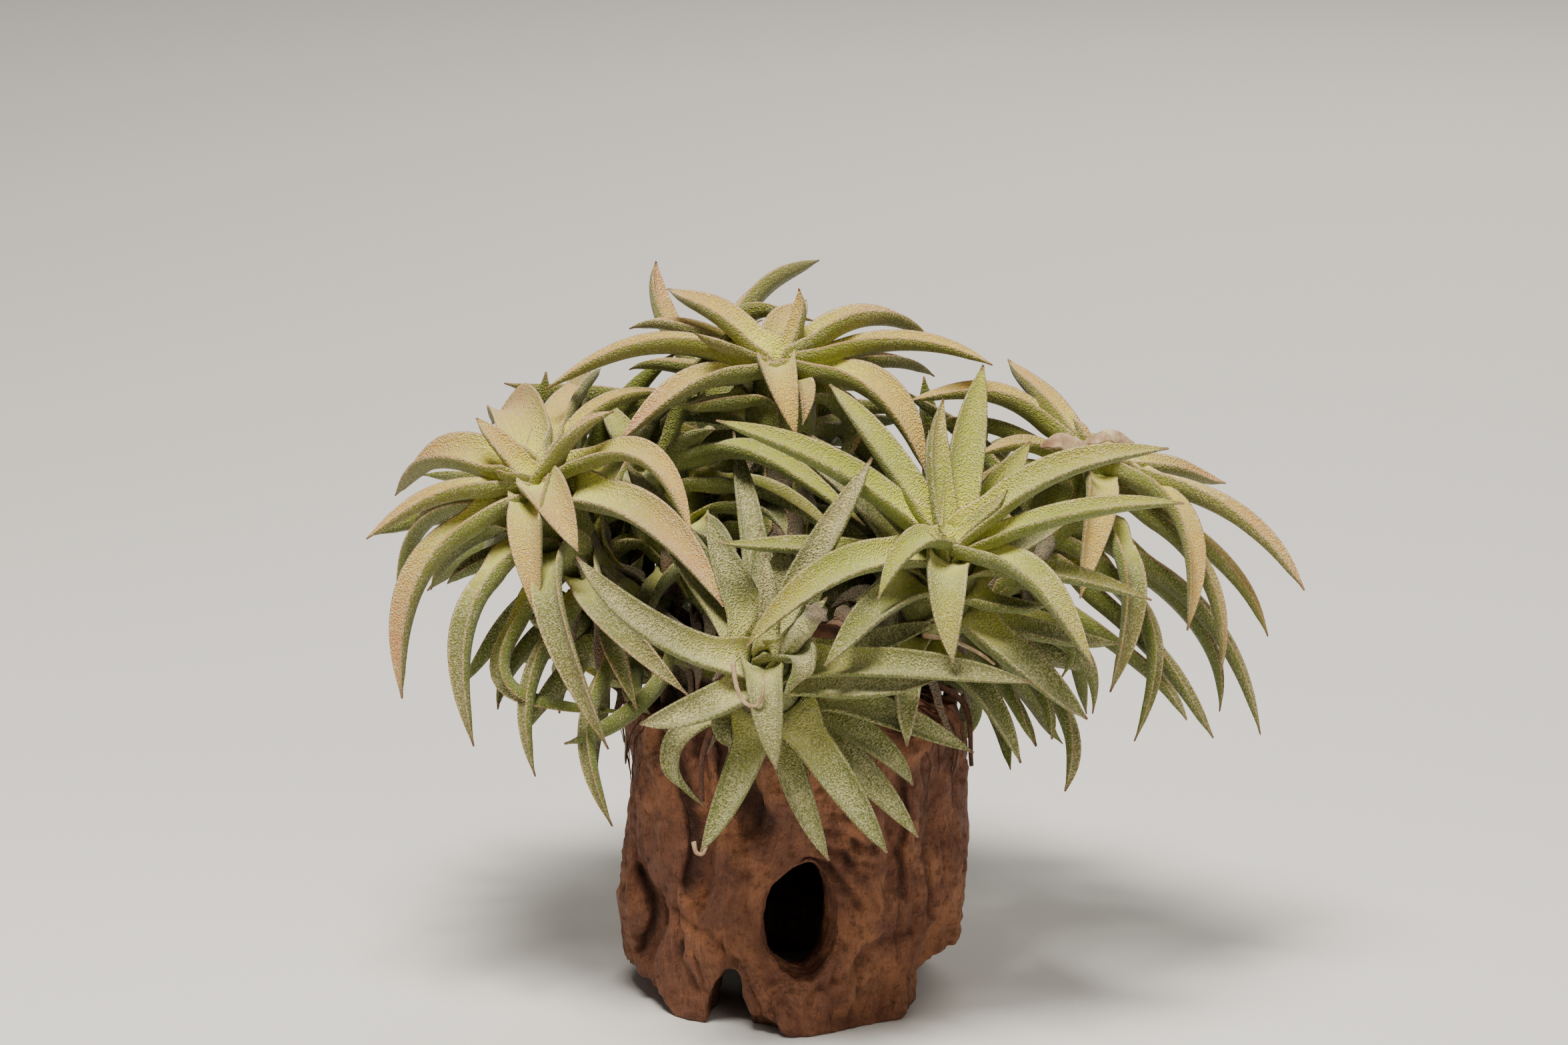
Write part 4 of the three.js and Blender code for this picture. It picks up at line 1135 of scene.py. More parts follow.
# Grooves: a path of heights and turns in degrees, which has the front at 270, the depth, and the
# half width in degrees. They run out in a short way past both ends.
GROOVE_ENDS = 2.5
GROOVES = (
    (((20, 231), (29, 234), (39, 229), (47, 226)), 5, 4.5),
    (((9, 205), (15.5, 213), (23, 205)), 3.4, 4),
    (((33, 250), (47, 244)), 3, 7),
    (((24, 310), (38, 309)), 2.2, 3.5),
    (((2, 95), (20, 100), (47, 88)), 3.5, 6),
    (((6, 140), (24, 132), (40, 142)), 3, 5),
    (((14, 20), (30, 28), (47, 22)), 2.6, 5),
)

# Swellings: turn and height, how far they stand out, half width in degrees and half height.
SWELLINGS = (
    (195, 13, 1.8, 22, 11),
    (268, 2, 2.4, 26, 12),
    (44, 4, 1.2, 20, 14),
    (355, 42, 0.8, 24, 12),
    (285, 44, 1.4, 22, 9),
    (118, 30, 2, 26, 16),
    (70, 22, 1.6, 18, 12),
)

# Hollows that part the feet: the middle and the half sizes.
FOOT_HOLLOWS = (
    ((-10.2, -22, -0.5), (3.7, 12, 10.4)),
    ((-6, -29, -1), (5, 8, 4)),
    ((27.5, 1, -1), (13.5, 16, 10.5)),
    ((28, -17, 0), (10.5, 13, 18)),
    ((-29, -6, -1), (12.5, 19, 6)),
)

# Waves round the wood: how far out, how many, and the height in which they turn by one radian.
WAVES = ((0.6, 3, 9), (0.7, 7, -7))
WOOD_DOWN = 3.0
WOOD_SIDES, WOOD_RINGS = 260, 90
TOP_DRAWN_IN = 0.045


def turn_between(a, b):
    """How far turn a is from turn b, from -180 to 180 degrees."""
    return (a - b + 540) % 360 - 180


def wood_radius(turn, height):
    """The wood's radius at a turn in degrees and a height, with its swellings and grooves."""
    angle = np.radians(turn)
    radius = 1 / np.hypot(np.cos(angle) / WOOD_HALF_WIDTH, np.sin(angle) / WOOD_HALF_DEPTH)
    for out, number, rise in WAVES:
        radius = radius + out * np.sin(number * angle + height / rise)
    for at, high, out, wide, tall in SWELLINGS:
        aside, above = turn_between(turn, at) / wide, (height - high) / tall
        radius += out * np.exp(-aside * aside - above * above)
    for path, depth, width in GROOVES:
        heights, turns = np.array(path, float).T
        past = np.maximum(0, np.maximum(heights[0] - height, height - heights[-1])) / GROOVE_ENDS
        aside = turn_between(turn, np.interp(height, heights, turns)) / width
        radius -= depth * np.exp(-aside * aside - past * past)
    return radius


def wood_block():
    share = np.linspace(0, 1, WOOD_RINGS)[:, None]
    turn = (np.arange(WOOD_SIDES) * 360 / WOOD_SIDES)[None]
    height = -WOOD_DOWN + (WOOD_TOP + WOOD_DOWN) * share
    radius = wood_radius(turn, height) * (1 - TOP_DRAWN_IN * share**8)
    angle = np.radians(turn)
    rings = points_at(radius * np.cos(angle), radius * np.sin(angle), height)
    return made_form("wood_block", rings)


# The hollow, in rows of radius, as a share of its half width and half depth, and height.
CAVITY_PROFILE = (
    (1.04, -6), (1.03, 0), (1.02, 6), (1.01, 13), (1, 20), (0.95, 25), (0.86, 29),
    (0.7, 32.3), (0.5, 34.5), (0.25, 35.7), (0.02, CAVITY_TOP),
)
CAVITY_SIDES = 90


def cavity():
    turn = round_turns(CAVITY_SIDES)
    radius, height = np.array(CAVITY_PROFILE, float).T[:, :, None]
    across = radius * np.cos(turn) * CAVITY_HALF_WIDTH
    deep = radius * np.sin(turn) * CAVITY_HALF_DEPTH
    return made_form("cavity", points_at(across, deep, height))


WAY_LENGTH = 30.0
WAY_MIDDLE = -20.0
WAY_SIDES, WAY_RINGS = 72, 12
WAY_FLARE = 0.32
WAY_SLANT = 0.12


def window_way():
    """An oval way through the front wall, which leans to the left as it goes in."""
    turn = round_turns(WAY_SIDES)
    depth = np.linspace(0.5, -0.5, WAY_RINGS)[:, None] * WAY_LENGTH
    flare = 1 + WAY_FLARE * np.maximum(0, -depth / WAY_LENGTH)
    x, z = np.cos(turn)[None], np.sin(turn)[None]
    slant = np.where(z > 0, WAY_SLANT * z, 0)
    deep = depth + WAY_MIDDLE
    middle = WINDOW_ACROSS - WINDOW_LEAN * (deep + WOOD_HALF_DEPTH)
    across = middle + WINDOW_HALF_WIDTH * flare * (x + slant)
    height = WINDOW_HEIGHT + WINDOW_HALF_HEIGHT * flare * z
    return made_form("window_way", points_at(across, deep, height))


LUMP_RINGS, LUMP_SIDES = 24, 40
LUMPS = ((0.07, 0.45, 61),)


def foot_hollow(name, place, halves):
    """A lumpy oval form that is cut out at the wood's foot."""
    tilt = np.linspace(0.02, math.pi - 0.02, LUMP_RINGS)[:, None]
    turn = round_turns(LUMP_SIDES)[None]
    form = points_at(np.sin(tilt) * np.cos(turn), np.sin(tilt) * np.sin(turn), -np.cos(tilt))
    form = form * (1 + rough(form, LUMPS))[..., None]
    return made_form(name, form * halves + place)


FLOOR_HALF = 60
FLOOR_DEEP = 30


def floor_block():
    """What is below the floor, which is cut off the wood."""
    x, y = FLOOR_HALF * np.array(SQUARE, float).T
    return made_form("floor_block", points_at(x, y, np.array([[-FLOOR_DEEP], [0.0]])))


def polyline_gap(points, path):
    """Distance of points from a broken line in the plane."""
    path = np.array(path, float)
    best = np.full(len(points), 1e9)
    for a, b in zip(path[:-1], path[1:]):
        way = b - a
        share = np.clip(((points - a) @ way) / (way @ way), 0, 1)
        best = np.minimum(best, np.linalg.norm(points - a - share[:, None] * way, axis=1))
    return best


# Fine grooves of the wood's front, in the front view: a path of across and up, depth and half
# width.
CARVINGS = (
    (((-21, 45), (-19.3, 38), (-17, 33), (-15.2, 26), (-15.6, 20), (-16.6, 16.5)), 2.8, 1.5),
    (((-24.6, 19), (-23, 15), (-22.2, 11), (-23, 8), (-24.5, 6.5)), 2.4, 0.9),
    (((-12, 38), (-8.5, 32), (-5, 27)), 2.2, 2.3),
    (((2.2, 20.2), (5.5, 19.8), (8, 17.3), (10.2, 13.8)), 1.5, 0.8),
    (((3, 23), (8, 21.8), (11.6, 18), (13.4, 13.4)), 0.9, 0.7),
    (((4, 25.4), (8, 25), (11.4, 23.4)), 0.8, 0.5),
    (((6, 28), (10.5, 27.4), (14, 25.2)), 0.7, 0.5),
    (((16.6, 34), (17.6, 28), (16.6, 22), (17.6, 15)), 1.7, 0.8),
    (((21, 37), (22.3, 28), (21.4, 20), (22.6, 12)), 1.2, 0.8),
    (((9.5, 23.6), (10, 23.3)), 1.6, 0.8),
    (((12.8, 22.8), (13.3, 22.5)), 1.3, 0.6),
    (((-9, 33), (-7.6, 25), (-8.2, 18), (-7.4, 10)), 0.8, 0.7),
    (((-17.5, 12), (-13, 8), (-9.5, 5)), 0.9, 0.8),
    (((9, 2), (12, 7), (18.5, 9.5)), 1.1, 0.9),
    (((2, -3), (3.4, 0.5), (7.5, 2.6)), 0.8, 0.6),
    (((-19.4, 12), (-18.6, 5), (-16, 0)), 0.9, 0.8),
)

# Knots in the front view: across, up, how far they stand out and their width.
KNOTS = (
    (-17, 14.4, 1.3, 1.7),
    (-27, 13, 0.8, 3),
    (21, 17, 0.8, 3.4),
    (13.5, 10, 0.9, 3),
    (-3, 31, 0.7, 3),
)

# Layers of noise: strength, size in millimetres and salt.
GRAIN_SWAY = ((2.2, 17, 11), (0.9, 7, 12))
GRAIN_RELIEF = ((0.2, 1.5, 1), (0.5, 3.4, 2))
PLAIN_RELIEF = ((0.8, 8, 4), (0.4, 3.2, 6), (0.26, 1.3, 13))

# Thin lines along the grain: size, salt and sharpness.
CRACKS = (2.3, 3, 7)
FISSURES = (1.1, 9, 5)
CRACK_DEPTH, FISSURE_DEPTH, PIT_DEPTH = 0.85, 0.34, 2.4

# Fissures are drawn out less than cracks. Patches in which cracks show, and pits: size, salt and
# what is added to the noise, so that more or less of the wood lies in them.
FISSURE_SHORTENING = (1, 1, 2.5)
CRACKED_PATCHES = (9, 8, 0.45)
PITS = (2.1, 7, -0.6)

# The grain is this much drawn out along the wood. At the front it parts round an oval that is this
# much larger than the window.
GRAIN_STRETCH = 0.09
WINDOW_CLEAR = 1.1
FRONT_PART = 4

# Where the hollow's shade starts, as a share of its half width, how soon it is full, and how far
# above the hollow's top it ends.
HOLLOW_EDGE, HOLLOW_FADE, HOLLOW_OVER = 1.18, 0.12, 3


def fibre_places(places):
    """Where each place lies in the grain, which runs up the wood and round its window."""
    turn = np.arctan2(places[:, 1], places[:, 0])
    radius = np.maximum(np.linalg.norm(places[:, :2], axis=1), 1)
    front = np.degrees(turn) % 360
    aside = np.radians(turn_between(front, 270)) * WOOD_HALF_DEPTH
    u = (aside - WINDOW_ACROSS) / (WINDOW_HALF_WIDTH * WINDOW_CLEAR)
    v = (places[:, 2] - WINDOW_HEIGHT) / (WINDOW_HALF_HEIGHT * WINDOW_CLEAR)
    away = np.maximum(u * u + v * v, 1.0)
    shift = -u / away * WINDOW_HALF_WIDTH * WINDOW_CLEAR
    shift = np.where(places[:, 1] < FRONT_PART, shift, 0)
    bent = turn + (shift + rough(places, GRAIN_SWAY)) / WOOD_HALF_DEPTH
    return points_at(radius * np.cos(bent), radius * np.sin(bent), places[:, 2] * GRAIN_STRETCH)


def thin_lines(places, size, salt, sharpness):
    """Lines from 0 to 1 where a noise of that size crosses its middle."""
    return (1 - np.abs(noise(places, size, salt))) ** sharpness


def patches(places, size, salt, more):
    """Patches from 0 to 1, where a noise of that size and what is added to it are above nought."""
    return np.clip(noise(places, size, salt) + more, 0, 1)


def wood_relief(places, normals):
    """How far the surface stands out, and how deep each place lies in a groove or a crack, which
    sets painted shade there.
    """
    fibre = fibre_places(places)
    relief = rough(fibre, GRAIN_RELIEF)
    cracks = thin_lines(fibre, *CRACKS) * patches(places, *CRACKED_PATCHES)
    fissures = thin_lines(fibre * FISSURE_SHORTENING, *FISSURES)
    relief -= CRACK_DEPTH * cracks + FISSURE_DEPTH * fissures
    relief += rough(places, PLAIN_RELIEF)
    pits = patches(places, *PITS)
    relief -= PIT_DEPTH * pits
    up = places[:, 2] * math.cos(VIEW_TILT) + places[:, 1] * math.sin(VIEW_TILT)
    front = np.stack([places[:, 0], up], 1)
    front += strayed(places, 0.5, 3.4, 14, 2)
    facing = np.clip(-normals[:, 1] * 2, 0, 1) * (places[:, 1] < 0)
    carved = np.zeros(len(places))
    for path, depth, width in CARVINGS:
        carved += depth * np.exp(-((polyline_gap(front, path) / width) ** 2))
    for across, high, out, wide in KNOTS:
        relief += facing * out * np.exp(-(((front - (across, high)) / wide) ** 2).sum(1))
    relief -= carved * facing
    # The second value is painted shade for the grooves, cracks and pits.
    return relief, np.clip(0.4 * carved * facing + 0.5 * cracks + 2 * pits, 0, 1)


def inside_share(places):
    """How far each place lies in the hollow, from 0 to 1, which sets painted shade there."""
    across, deep = places[:, 0] / CAVITY_HALF_WIDTH, places[:, 1] / CAVITY_HALF_DEPTH
    share = np.clip((HOLLOW_EDGE - np.hypot(across, deep)) / HOLLOW_FADE, 0, 1)
    return share * (places[:, 2] < CAVITY_TOP + HOLLOW_OVER)


def smooth_places(piece, rounds):
    """Draws every vertex towards the middle of its neighbours."""
    mesh = piece.data
    edges = np.zeros(len(mesh.edges) * 2, np.int64)
    mesh.edges.foreach_get("vertices", edges)
    a, b = edges.reshape(-1, 2).T
    places, _ = places_of(piece)
    count = np.bincount(a, minlength=len(places)) + np.bincount(b, minlength=len(places))
    for _ in range(rounds):
        total = np.zeros_like(places)
        np.add.at(total, a, places[b])
        np.add.at(total, b, places[a])
        places = 0.4 * places + 0.6 * total / np.maximum(count, 1)[:, None]
    move_places(piece, places)


WOOD_VOXEL = 0.46
SMOOTH_ROUNDS = 3
FLAT_FOOT = 1.2


def remesh(piece, size):
    """Gives a piece even faces of that size in millimetres, and smooths it."""
    modifier = piece.modifiers.new("remesh", "REMESH")
    modifier.mode = "VOXEL"
    modifier.voxel_size = size * MM
    modifier.use_smooth_shade = True
    bake(piece)
    smooth_places(piece, SMOOTH_ROUNDS)


def cut_out(piece, cutters):
    for cutter in cutters:
        cut = piece.modifiers.new("cut", "BOOLEAN")
        cut.operation = "DIFFERENCE"
        cut.solver = "MANIFOLD"
        cut.object = cutter
    bake(piece)
    for cutter in cutters:
        bpy.data.objects.remove(cutter)


def made_wood(settings):
    wood = wood_block()
    cutters = [floor_block(), window_way(), cavity()]
    cutters += [foot_hollow(f"hollow_{k}", *row) for k, row in enumerate(FOOT_HOLLOWS)]
    cut_out(wood, cutters)
    remesh(wood, WOOD_VOXEL)
    places, normals = places_of(wood)
    inside = inside_share(places)
    relief, deep = wood_relief(places, normals)
    relief = relief * settings.relief
    flat = np.clip(places[:, 2] / FLAT_FOOT, 0, 1)
    places = places + normals * (relief * flat * (1 - 0.5 * inside))[:, None]
    places[:, 2] = np.maximum(places[:, 2], 0)
    move_places(wood, places)
    # hollow sets painted shade in the grooves, cracks and pits, and inside sets painted shade in the
    # hollow.
    data = {"fibre": fibre_places(places), "hollow": deep, "inside": inside}
    set_attributes(wood.data, data)
    wood.name = wood.data.name = "gnarled_wood"
    return wood


# The woody base and its roots.

ROOTS = (
    ((14, 0, 51), (21, 1, 50.5), (27.5, 2, 46), (28.6, 2, 36)),
    ((-14, 8, 50), (-19, 13, 50), (-23, 16.5, 45), (-23, 17, 35)),
    ((8, 14, 50), (10, 20, 50), (11.5, 24.5, 45), (12, 25, 33)),
    ((4, -14, 51), (8, -19, 54), (11.5, -25, 55), (16, -28, 52)),
    ((-8, -13, 50.5), (-12, -19, 50.3), (-14.5, -23.5, 45), (-14.5, -24, 38)),
)
ROOT_RADIUS = 0.72
ROOT_STEPS, ROOT_SIDES = 40, 9

# Fine roots: how far they wander round the rim and kink, in degrees, how far they hang over it,
# and how thick they are. They run level up to a share of their way, and then down the wood.
ROOT_WANDER = 14
ROOT_KINK = 2.5
ROOT_DROPS = (4, 15)
FINE_RADII = (0.16, 0.34)
RIM_SHARE = 0.65
FINE_ROOT_STEPS, FINE_ROOT_SIDES = 34, 6

# The shares of the way at which its points lie. The level part starts at a radius, spreads, starts
# above the wood's top and falls, and the hanging part keeps a gap to the wood.
ROOT_SHARES = (0.0, 0.3, 0.55, 0.75, 1.0)
ROOT_START, ROOT_SPREAD = 13, 16
ROOT_RISE, ROOT_FALL = 4, 5.2
ROOT_GAP = 0.1


def fine_root(k, draws):
    """The points of a thin root that runs over the rim."""
    turn = math.radians(360 * ((k * GOLDEN) % 1))
    wander = math.radians(draws.between(-ROOT_WANDER, ROOT_WANDER))
    drop = draws.between(*ROOT_DROPS)
    points = []
    for share in ROOT_SHARES:
        kink = math.radians(draws.between(-ROOT_KINK, ROOT_KINK))
        angle = turn + wander * share * share + kink
        if share > RIM_SHARE:
            height = WOOD_TOP - drop * (share - RIM_SHARE) / (1 - RIM_SHARE)
            radius = float(wood_radius(np.array(math.degrees(angle) % 360), height)) + ROOT_GAP
        else:
            radius = ROOT_START + ROOT_SPREAD * share
            height = WOOD_TOP + ROOT_RISE - ROOT_FALL * share
        points.append((radius * math.cos(angle), radius * math.sin(angle), height))
    return points


def add_roots(body, count):
    draws = Draws(ROOT_SEED)
    for points in ROOTS:
        radii = ROOT_RADIUS * (1 - 0.5 * np.linspace(0, 1, ROOT_STEPS))
        body.add(tube_rings(smooth_path(points, ROOT_STEPS), radii, ROOT_SIDES))
    for k in range(count):
        line = smooth_path(fine_root(k, draws), FINE_ROOT_STEPS)
        line += strayed(line, 0.3, 2.3, 20)
        radii = draws.between(*FINE_RADII) * (1 - 0.6 * np.linspace(0, 1, FINE_ROOT_STEPS))
        body.add(tube_rings(line, radii, FINE_ROOT_SIDES))


MAT_RINGS, MAT_SIDES = 26, 90
MAT_LUMPS = ((0.7, 3.5, 31), (0.35, 1.2, 32))
MAT_SINK = 0.4


def made_mat(settings):
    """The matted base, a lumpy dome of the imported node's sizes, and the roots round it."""
    tilt = np.linspace(0, math.pi / 2 - 0.02, MAT_RINGS)[:, None]
    turn = round_turns(MAT_SIDES)[None]
    out = CROWN_RADIUS * np.cos(tilt)
    height = WOOD_TOP + SEAT_GAP + CROWN_HEIGHT * np.sin(tilt)
    dome = points_at(out * np.cos(turn), out * np.sin(turn), height)
    middle = np.array([0, 0, WOOD_TOP])
    dome = dome + unit(dome - middle) * (rough(dome, MAT_LUMPS) - MAT_SINK)[..., None]
    dome[..., 2] = np.maximum(dome[..., 2], WOOD_TOP + 0.1)
    body = Body()
    body.add(dome)
    add_roots(body, settings.fine_roots)
    mat = body.made("root_mat")
    places, _ = places_of(mat)
    data = {"fibre": places * (1, 1, 0.4), "hollow": np.full(len(places), 0.2)}
    data["inside"] = np.zeros(len(places))
    set_attributes(mat.data, data)
    return mat


# Dry trim in the front view: thread-like curls on the front low and front right heads, cupped
# scraps on the right head with their radii, and the rolled leaf of the front low head.
CURLS = (
    (
        (-9.4, 53, 52), (-9, 50, 53), (-8, 47.4, 53.5), (-6.2, 46.3, 53.6), (-4.9, 48, 53.2),
        (-4.8, 51.5, 52),
    ),
    ((-15.6, 25, 45.6), (-15.2, 23.4, 46.4), (-14.2, 23.2, 46.6), (-13.6, 24.2, 46.2)),
    ((20, 57, 38), (24, 56.4, 40), (28, 54.6, 40), (31, 52.6, 38)),
)
CURL_RADII = (0.42, 0.22)
CURL_STEPS, CURL_SIDES = 40, 8
CUPS = (
    (((38.6, 86.6, 13), (41.5, 88.2, 13.5), (44.5, 87.6, 13.5), (47.4, 85.2, 13)), 2.3),
    (((46, 87.4, 8), (49.5, 88.8, 8), (53.8, 87.2, 7)), 1.7),
)
CUP_STEPS, CUP_SIDES = 30, 16
ROLLED_LEAF = (((-1.2, 54.6, 45), (1.2, 58, 48), (4.2, 61.6, 49)), 1.75)
ROLLED_STEPS, ROLLED_SIDES = 30, 22


def made_curls():
    body = Body()
    for points in CURLS:
        radii = np.linspace(*CURL_RADII, CURL_STEPS)
        body.add(tube_rings(view_path(points, CURL_STEPS), radii, CURL_SIDES))
    for points, radius in CUPS:
        line = view_path(points, CUP_STEPS)
        line += strayed(line, 0.3, 2.0, 43)
        place = np.linspace(0, 1, CUP_STEPS)
        radii = radius * np.interp(place, (0, 0.2, 0.7, 1), (0.3, 0.9, 1, 0.25))
        body.add(tube_rings(line, radii, CUP_SIDES, 0.16, 0.7, 0.8))
    return body.made("withered_curls")


def add_rolled_leaf(body):
    """The stub of a leaf that is rolled up and ends in a crumpled dry tuft."""
    points, radius = ROLLED_LEAF
    line = view_path(points, ROLLED_STEPS)
    place = np.linspace(0, 1, ROLLED_STEPS)
    radii = radius * np.interp(place, (0, 0.6, 0.8, 0.9, 1), (0.8, 0.95, 0.8, 1.15, 0.75))
    rings = tube_rings(line, radii, ROLLED_SIDES)
    crumpled = np.interp(place, (0, 0.72, 0.84, 1), (0.12, 0.15, 0.75, 0.9))[:, None]
    rings += (crumpled * noise(rings, 0.9, 41))[..., None] * unit(rings - line[:, None])
    dry = np.interp(place, (0.7, 0.84), (0, 1))[:, None]
    body.add(rings, along=0.4, aside=0.4, over=0.6, ribs=0.5, tone=0.9, age=0.5, dry=dry)


# Materials.


def set_inputs(tree, node, inputs):
    """Gives a node's inputs their values, or links them to sockets. Colours come without alpha."""
    for key, value in inputs.items():
        socket = node.inputs[key]
        if isinstance(value, bpy.types.NodeSocket):
            tree.links.new(value, socket)
        elif socket.type == "RGBA":
            socket.default_value = (*value, 1)
        else:
            socket.default_value = value


def add_node(tree, kind, inputs=None, **fields):
    """A node with its fields set, and its inputs given as values or as sockets to link."""
    node = tree.nodes.new(kind)
    for key, value in fields.items():
        setattr(node, key, value)
    set_inputs(tree, node, inputs or {})
    return node


def mixed(tree, factor, a, b):
    """Colour a, with colour b mixed in by the factor."""
    node = add_node(tree, "ShaderNodeMix", {0: factor, 6: a, 7: b}, data_type="RGBA")
    return node.outputs[2]


def math_node(tree, operation, a, b=0.0, clamp=False):
    node = add_node(tree, "ShaderNodeMath", {0: a, 1: b}, operation=operation, use_clamp=clamp)
    return node.outputs[0]


def added(tree, a, b, clamp=False):
    return math_node(tree, "ADD", a, b, clamp)


def times(tree, a, b, clamp=False):
    return math_node(tree, "MULTIPLY", a, b, clamp)


def ranged(tree, value, low, high, to_low=0.0, to_high=1.0):
    """A value brought smoothly from one range into another."""
    inputs = {"Value": value, "From Min": low, "From Max": high}
    inputs |= {"To Min": to_low, "To Max": to_high}
    node = add_node(tree, "ShaderNodeMapRange", inputs, interpolation_type="SMOOTHSTEP")
    return node.outputs[0]


def attribute(tree, name, output="Fac"):
    return add_node(tree, "ShaderNodeAttribute", attribute_name=name).outputs[output]


def object_place(tree):
    return add_node(tree, "ShaderNodeTexCoord").outputs["Object"]


def cloud(tree, place, scale, detail, roughness=0.5):
    """Cloudy noise from 0 to 1, finer with a greater scale, and with that many finer layers."""
    inputs = {"Vector": place, "Scale": scale, "Detail": detail, "Roughness": roughness}
    return add_node(tree, "ShaderNodeTexNoise", inputs).outputs[0]


def ramp(tree, value, stops):
    node = add_node(tree, "ShaderNodeValToRGB", {"Fac": value})
    elements = node.color_ramp.elements
    while len(elements) < len(stops):
        elements.new(0.5)
    for element, (place, color) in zip(elements, stops):
        element.position = place
        element.color = (*color, 1)
    return node.outputs[0]


def new_surface(name, inputs):
    """A node group with (kind, name, default) inputs that gives a colour, roughness and height."""
    group = bpy.data.node_groups.new(name, "ShaderNodeTree")
    for kind, label, default in inputs:
        socket = group.interface.new_socket(label, in_out="INPUT", socket_type=f"NodeSocket{kind}")
        socket.default_value = default
    for kind, label in (("Color", "Color"), ("Float", "Roughness"), ("Float", "Height")):
        group.interface.new_socket(label, in_out="OUTPUT", socket_type=f"NodeSocket{kind}")
    return group, group.nodes.new("NodeGroupInput").outputs


def give_out(group, color, roughness, height):
    out = group.nodes.new("NodeGroupOutput")
    for key, value in (("Color", color), ("Roughness", roughness), ("Height", height)):
        group.links.new(value, out.inputs[key])


def placed(tree, name, maker, inputs):
    """The outputs of a shared node group, which is made when it is first placed."""
    group = bpy.data.node_groups.get(name) or maker(name)
    return add_node(tree, "ShaderNodeGroup", inputs, node_tree=group).outputs


def new_material(name):
    """A material, with its tree and its Principled shader."""
    material = bpy.data.materials.new(name)
    material.use_nodes = True
    tree = material.node_tree
    return material, tree, tree.nodes["Principled BSDF"]


def bump(tree, height, distance):
    inputs = {"Height": height, "Distance": distance, "Strength": 1.0}
    return add_node(tree, "ShaderNodeBump", inputs).outputs[0]


def frost_group(name):
    """Scale-like hairs that cover a leaf in a silvery coat, thickest along its rims."""
    group, given = new_surface(
        name,
        (
            ("Color", "Leaf", (0.5, 0.6, 0.3, 1)),
            ("Color", "Coat", (0.9, 0.9, 0.85, 1)),
            ("Float", "Amount", 0.5),
            ("Float", "Rim", 0.0),
        ),
    )
    place = object_place(group)
    cell = {"Vector": place, "Scale": 3300.0, "Randomness": 1.0}
    scales = add_node(group, "ShaderNodeTexVoronoi", cell).outputs["Distance"]
    fine = cloud(group, place, 2600.0, 2.0, 0.65)
    broad = cloud(group, place, 230.0, 3.0)
    coat = added(group, given["Amount"], ranged(group, broad, 0.3, 0.7, -0.12, 0.12))
    coat = added(group, coat, ranged(group, given["Rim"], 0.84, 1.0, 0.0, 0.4))
    coat = added(group, coat, ranged(group, fine, 0.32, 0.68, -0.34, 0.34))
    coat = added(group, coat, ranged(group, scales, 0.1, 0.7, 0.3, -0.3), True)
    color = mixed(group, times(group, coat, 0.6), given["Leaf"], given["Coat"])
    height = math_node(group, "SUBTRACT", coat, times(group, scales, 0.8))
    give_out(group, color, ranged(group, coat, 0.0, 1.0, 0.5, 0.85), height)
    return group


def grain_group(name):
    """Weathered grain: dark lines and worn ridges along given fibre places, and painted shade in the
    hollows that it is given.
    """
    group, given = new_surface(
        name,
        (
            ("Vector", "Fibre", (0, 0, 0)),
            ("Float", "Hollow", 0.0),
            ("Color", "Worn", (0.5, 0.3, 0.16, 1)),
            ("Color", "Wood", (0.33, 0.17, 0.09, 1)),
            ("Color", "Dark", (0.07, 0.03, 0.02, 1)),
        ),
    )
    fibre, place = given["Fibre"], object_place(group)
    streaks = cloud(group, fibre, 1.1, 6.0, 0.7)
    fine = cloud(group, fibre, 3.6, 3.0, 0.7)
    broad = cloud(group, place, 95.0, 5.0, 0.65)
    pits = cloud(group, place, 620.0, 4.0, 0.7)
    specks = cloud(group, place, 2200.0, 2.0, 0.7)
    color = given["Wood"]
    for value, low, high, most, shade in (
        (broad, 0.42, 0.68, 1.0, "Worn"),
        (streaks, 0.5, 0.72, 0.5, "Worn"),
        (fine, 0.48, 0.28, 0.55, "Dark"),
        (pits, 0.5, 0.3, 0.6, "Dark"),
        # Painted shade in the grooves, cracks and pits.
        (given["Hollow"], 0.1, 1.0, 0.85, "Dark"),
        (specks, 0.55, 0.75, 0.3, "Worn"),
    ):
        color = mixed(group, ranged(group, value, low, high, 0.0, most), color, given[shade])
    height = times(group, streaks, 0.5)
    for value, share in ((fine, 0.4), (pits, 0.7), (specks, 0.2)):
        height = added(group, height, times(group, value, share))
    give_out(group, color, ranged(group, pits, 0.3, 0.7, 0.85, 0.5), height)
    return group


# What the leaves' meshes mark at each vertex: the share along the blade, how near it is to a rim,
# how far it faces up, the share across, and three that the whole leaf has: tone, age and dryness.
LEAF_MARKS = ("along", "aside", "over", "ribs", "tone", "age", "dry")
RIB_TURNS = 62.0
LEAF_BUMP = 0.00022
LEAF_VALUES = {
    "Sheen Weight": 0.2,
    "Sheen Roughness": 0.5,
    "Specular IOR Level": 0.35,
    "Subsurface Weight": 0.12,
    "Subsurface Scale": 0.001,
}
WITHERED_SHADES = ((0.5, (0.17, 0.13, 0.075)), (0.7, (0.34, 0.29, 0.17)))


